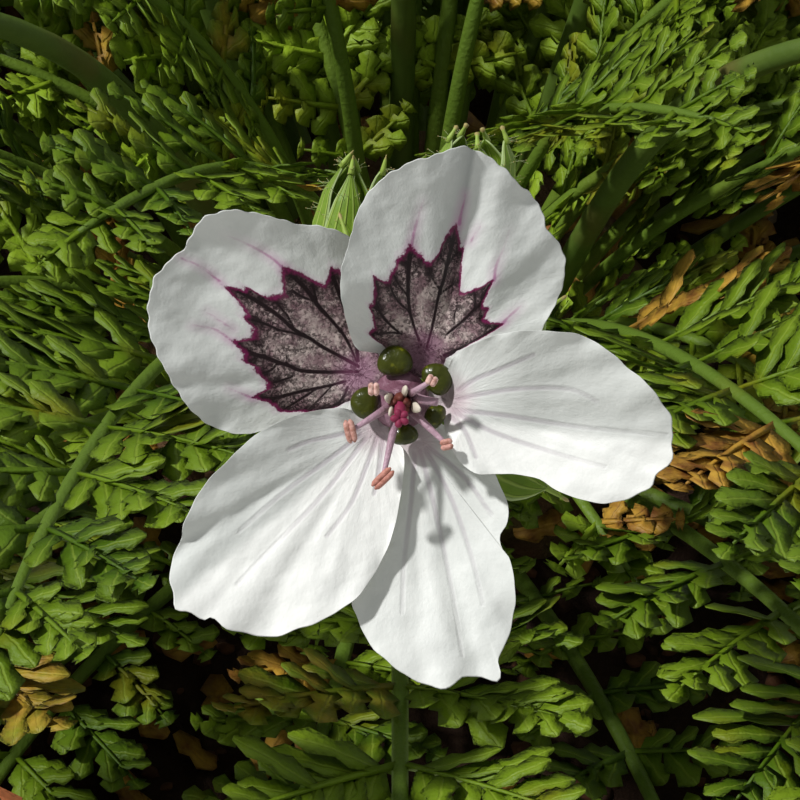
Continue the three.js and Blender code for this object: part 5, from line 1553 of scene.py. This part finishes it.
filament_finish = Finish("filament", gloss=0.4, rough=0.4)
filament_finish.relief(filament_finish.noise(0.2, 3), 0.08)
out = filament_finish.value("out")
mauve = filament_finish.mix(out, rgb(134, 100, 114), rgb(184, 152, 166))
lilac = filament_finish.noise(0.8, 3).step(0.4, 0.65)
foot_colour = filament_finish.mix(lilac, rgb(112, 74, 88), rgb(156, 118, 134))
filament_finish.colour(filament_finish.mix(out.step(0, -0.6), mauve, foot_colour))
anther_finish = Finish("anther", gloss=0.3, rough=0.55)
salmon = anther_finish.mix(anther_finish.value("deep"), rgb(226, 188, 178), rgb(192, 132, 118))
rusty = anther_finish.noise(0.2, 3).step(0.35, 0.7) * 0.75
anther_finish.colour(anther_finish.mix(rusty, salmon, rgb(146, 92, 74)))
anther_finish.relief(anther_finish.noise(0.12, 3), 0.04)
seed_finish = Finish("seed_head", gloss=0.3, rough=0.6)
seed_colour = seed_finish.mix(seed_finish.noise(0.3, 3), rgb(74, 32, 28), rgb(118, 64, 54))
seed_finish.colour(seed_finish.mix(seed_finish.value("out").step(0.4, 0.6), seed_colour, rgb(128, 42, 70)))
scale_finish = Finish("pale_scale", plain=rgb(206, 196, 178), gloss=0.3, rough=0.5)

for row in STALKS:
    head = row["heads"][0]
    place = head_frame(head)
    sides = 10 if head.get("fine") else 5
    filaments, anthers, seeds, scales = Heap(), Heap(), Heap(), Heap()
    for across, up, height, turn, length, deep in ANTHERS:
        reach_out = math.hypot(across, up)
        way = np.array([across, up, 0]) / reach_out
        base = np.array([0, 0, FILAMENT_FOOT]) + way * 0.5
        knee = np.array([0, 0, height - 0.45]) + way * (0.6 + 0.38 * (reach_out - 1))
        end = np.array([across, up, height])
        line = smooth_path([base, knee, end], FILAMENT_POINTS)
        radii = np.linspace(FILAMENT * 1.35, FILAMENT * 0.62, FILAMENT_POINTS)
        out = np.append(np.repeat(np.linspace(0, 1, FILAMENT_POINTS), sides), [0, 1])
        rod(filaments, place, line, radii, sides, 0.8, out=out)
        long_way = towards(turn, 8)
        aside = np.cross((0, 0, 1), long_way)
        spots = np.linspace(-0.5, 0.5, 9)
        round_end = ANTHER_WIDTH * np.sqrt(np.maximum(0.08, 1 - (2 * spots) ** 6))
        for hand in (1, -1):
            middle = end + aside * hand * ANTHER_WIDTH * 0.66 + [0, 0, 0.12]
            bend = 0.08 * hand * (0.25 - spots ** 2)
            line = [middle + long_way * length * s + aside * b for s, b in zip(spots, bend)]
            rod(anthers, place, line, round_end, sides + 2, deep=deep)
    for n in range(5):
        angle = rad(72 * n + 18)
        foot = np.array([0.28 * math.cos(angle), 0.28 * math.sin(angle) - 0.2, 1.6])
        line = [foot + [0, 0, z] for _, z in SEED_HEAD]
        rod(seeds, place, line, [radius for radius, _ in SEED_HEAD], sides, out=0)
    style = smooth_path([(0, -0.2, 2.6), (0, -0.5, 3.05), STIGMA], 8)
    rod(seeds, place, style, np.linspace(0.3, 0.26, 8), sides, out=1)
    for n in range(5):
        angle = rad(72 * n + 40)
        way = np.array([math.cos(angle), math.sin(angle), 0.5])
        line = [STIGMA - [0, 0, 0.1], STIGMA + way * 0.18, STIGMA + way * 0.36, STIGMA + way * 0.44]
        rod(seeds, place, line, [0.14, 0.2, 0.16, 0.05], sides, out=1)
    for across, up in SCALE_PLACES:
        foot = np.array([across * 0.75, up * 0.75, FILAMENT_FOOT])
        way = np.array([across, up, 0]) * 0.35
        line = [foot, foot + [0, 0, 0.7], foot + way * 0.5 + [0, 0, 1.3], foot + way + [0, 0, 1.7]]
        rod(scales, place, line, [0.26, 0.28, 0.24, 0.1], sides, 0.5)
    line = [(0, 0, z) for _, z in LILAC_FOOT]
    rod(filaments, place, line, [radius for radius, _ in LILAC_FOOT], 2 * sides, out=-1)
    stub = smooth_path([(0.75, 0.1, 2.2), (1.1, 0.0, 2.9), (1.75, -0.1, 3.1)], 8)
    rod(filaments, place, stub, np.linspace(0.24, 0.19, 8), sides, out=0.6)
    node = f"stamens_{row['name']}"
    filaments.piece(f"filaments_{row['name']}", filament_finish, "stamen", node)
    anthers.piece(f"anthers_{row['name']}", anther_finish, "stamen", node)
    seeds.piece(f"seed_head_{row['name']}", seed_finish, "stamen", node)
    scales.piece(f"pale_scales_{row['name']}", scale_finish, "stamen", node)
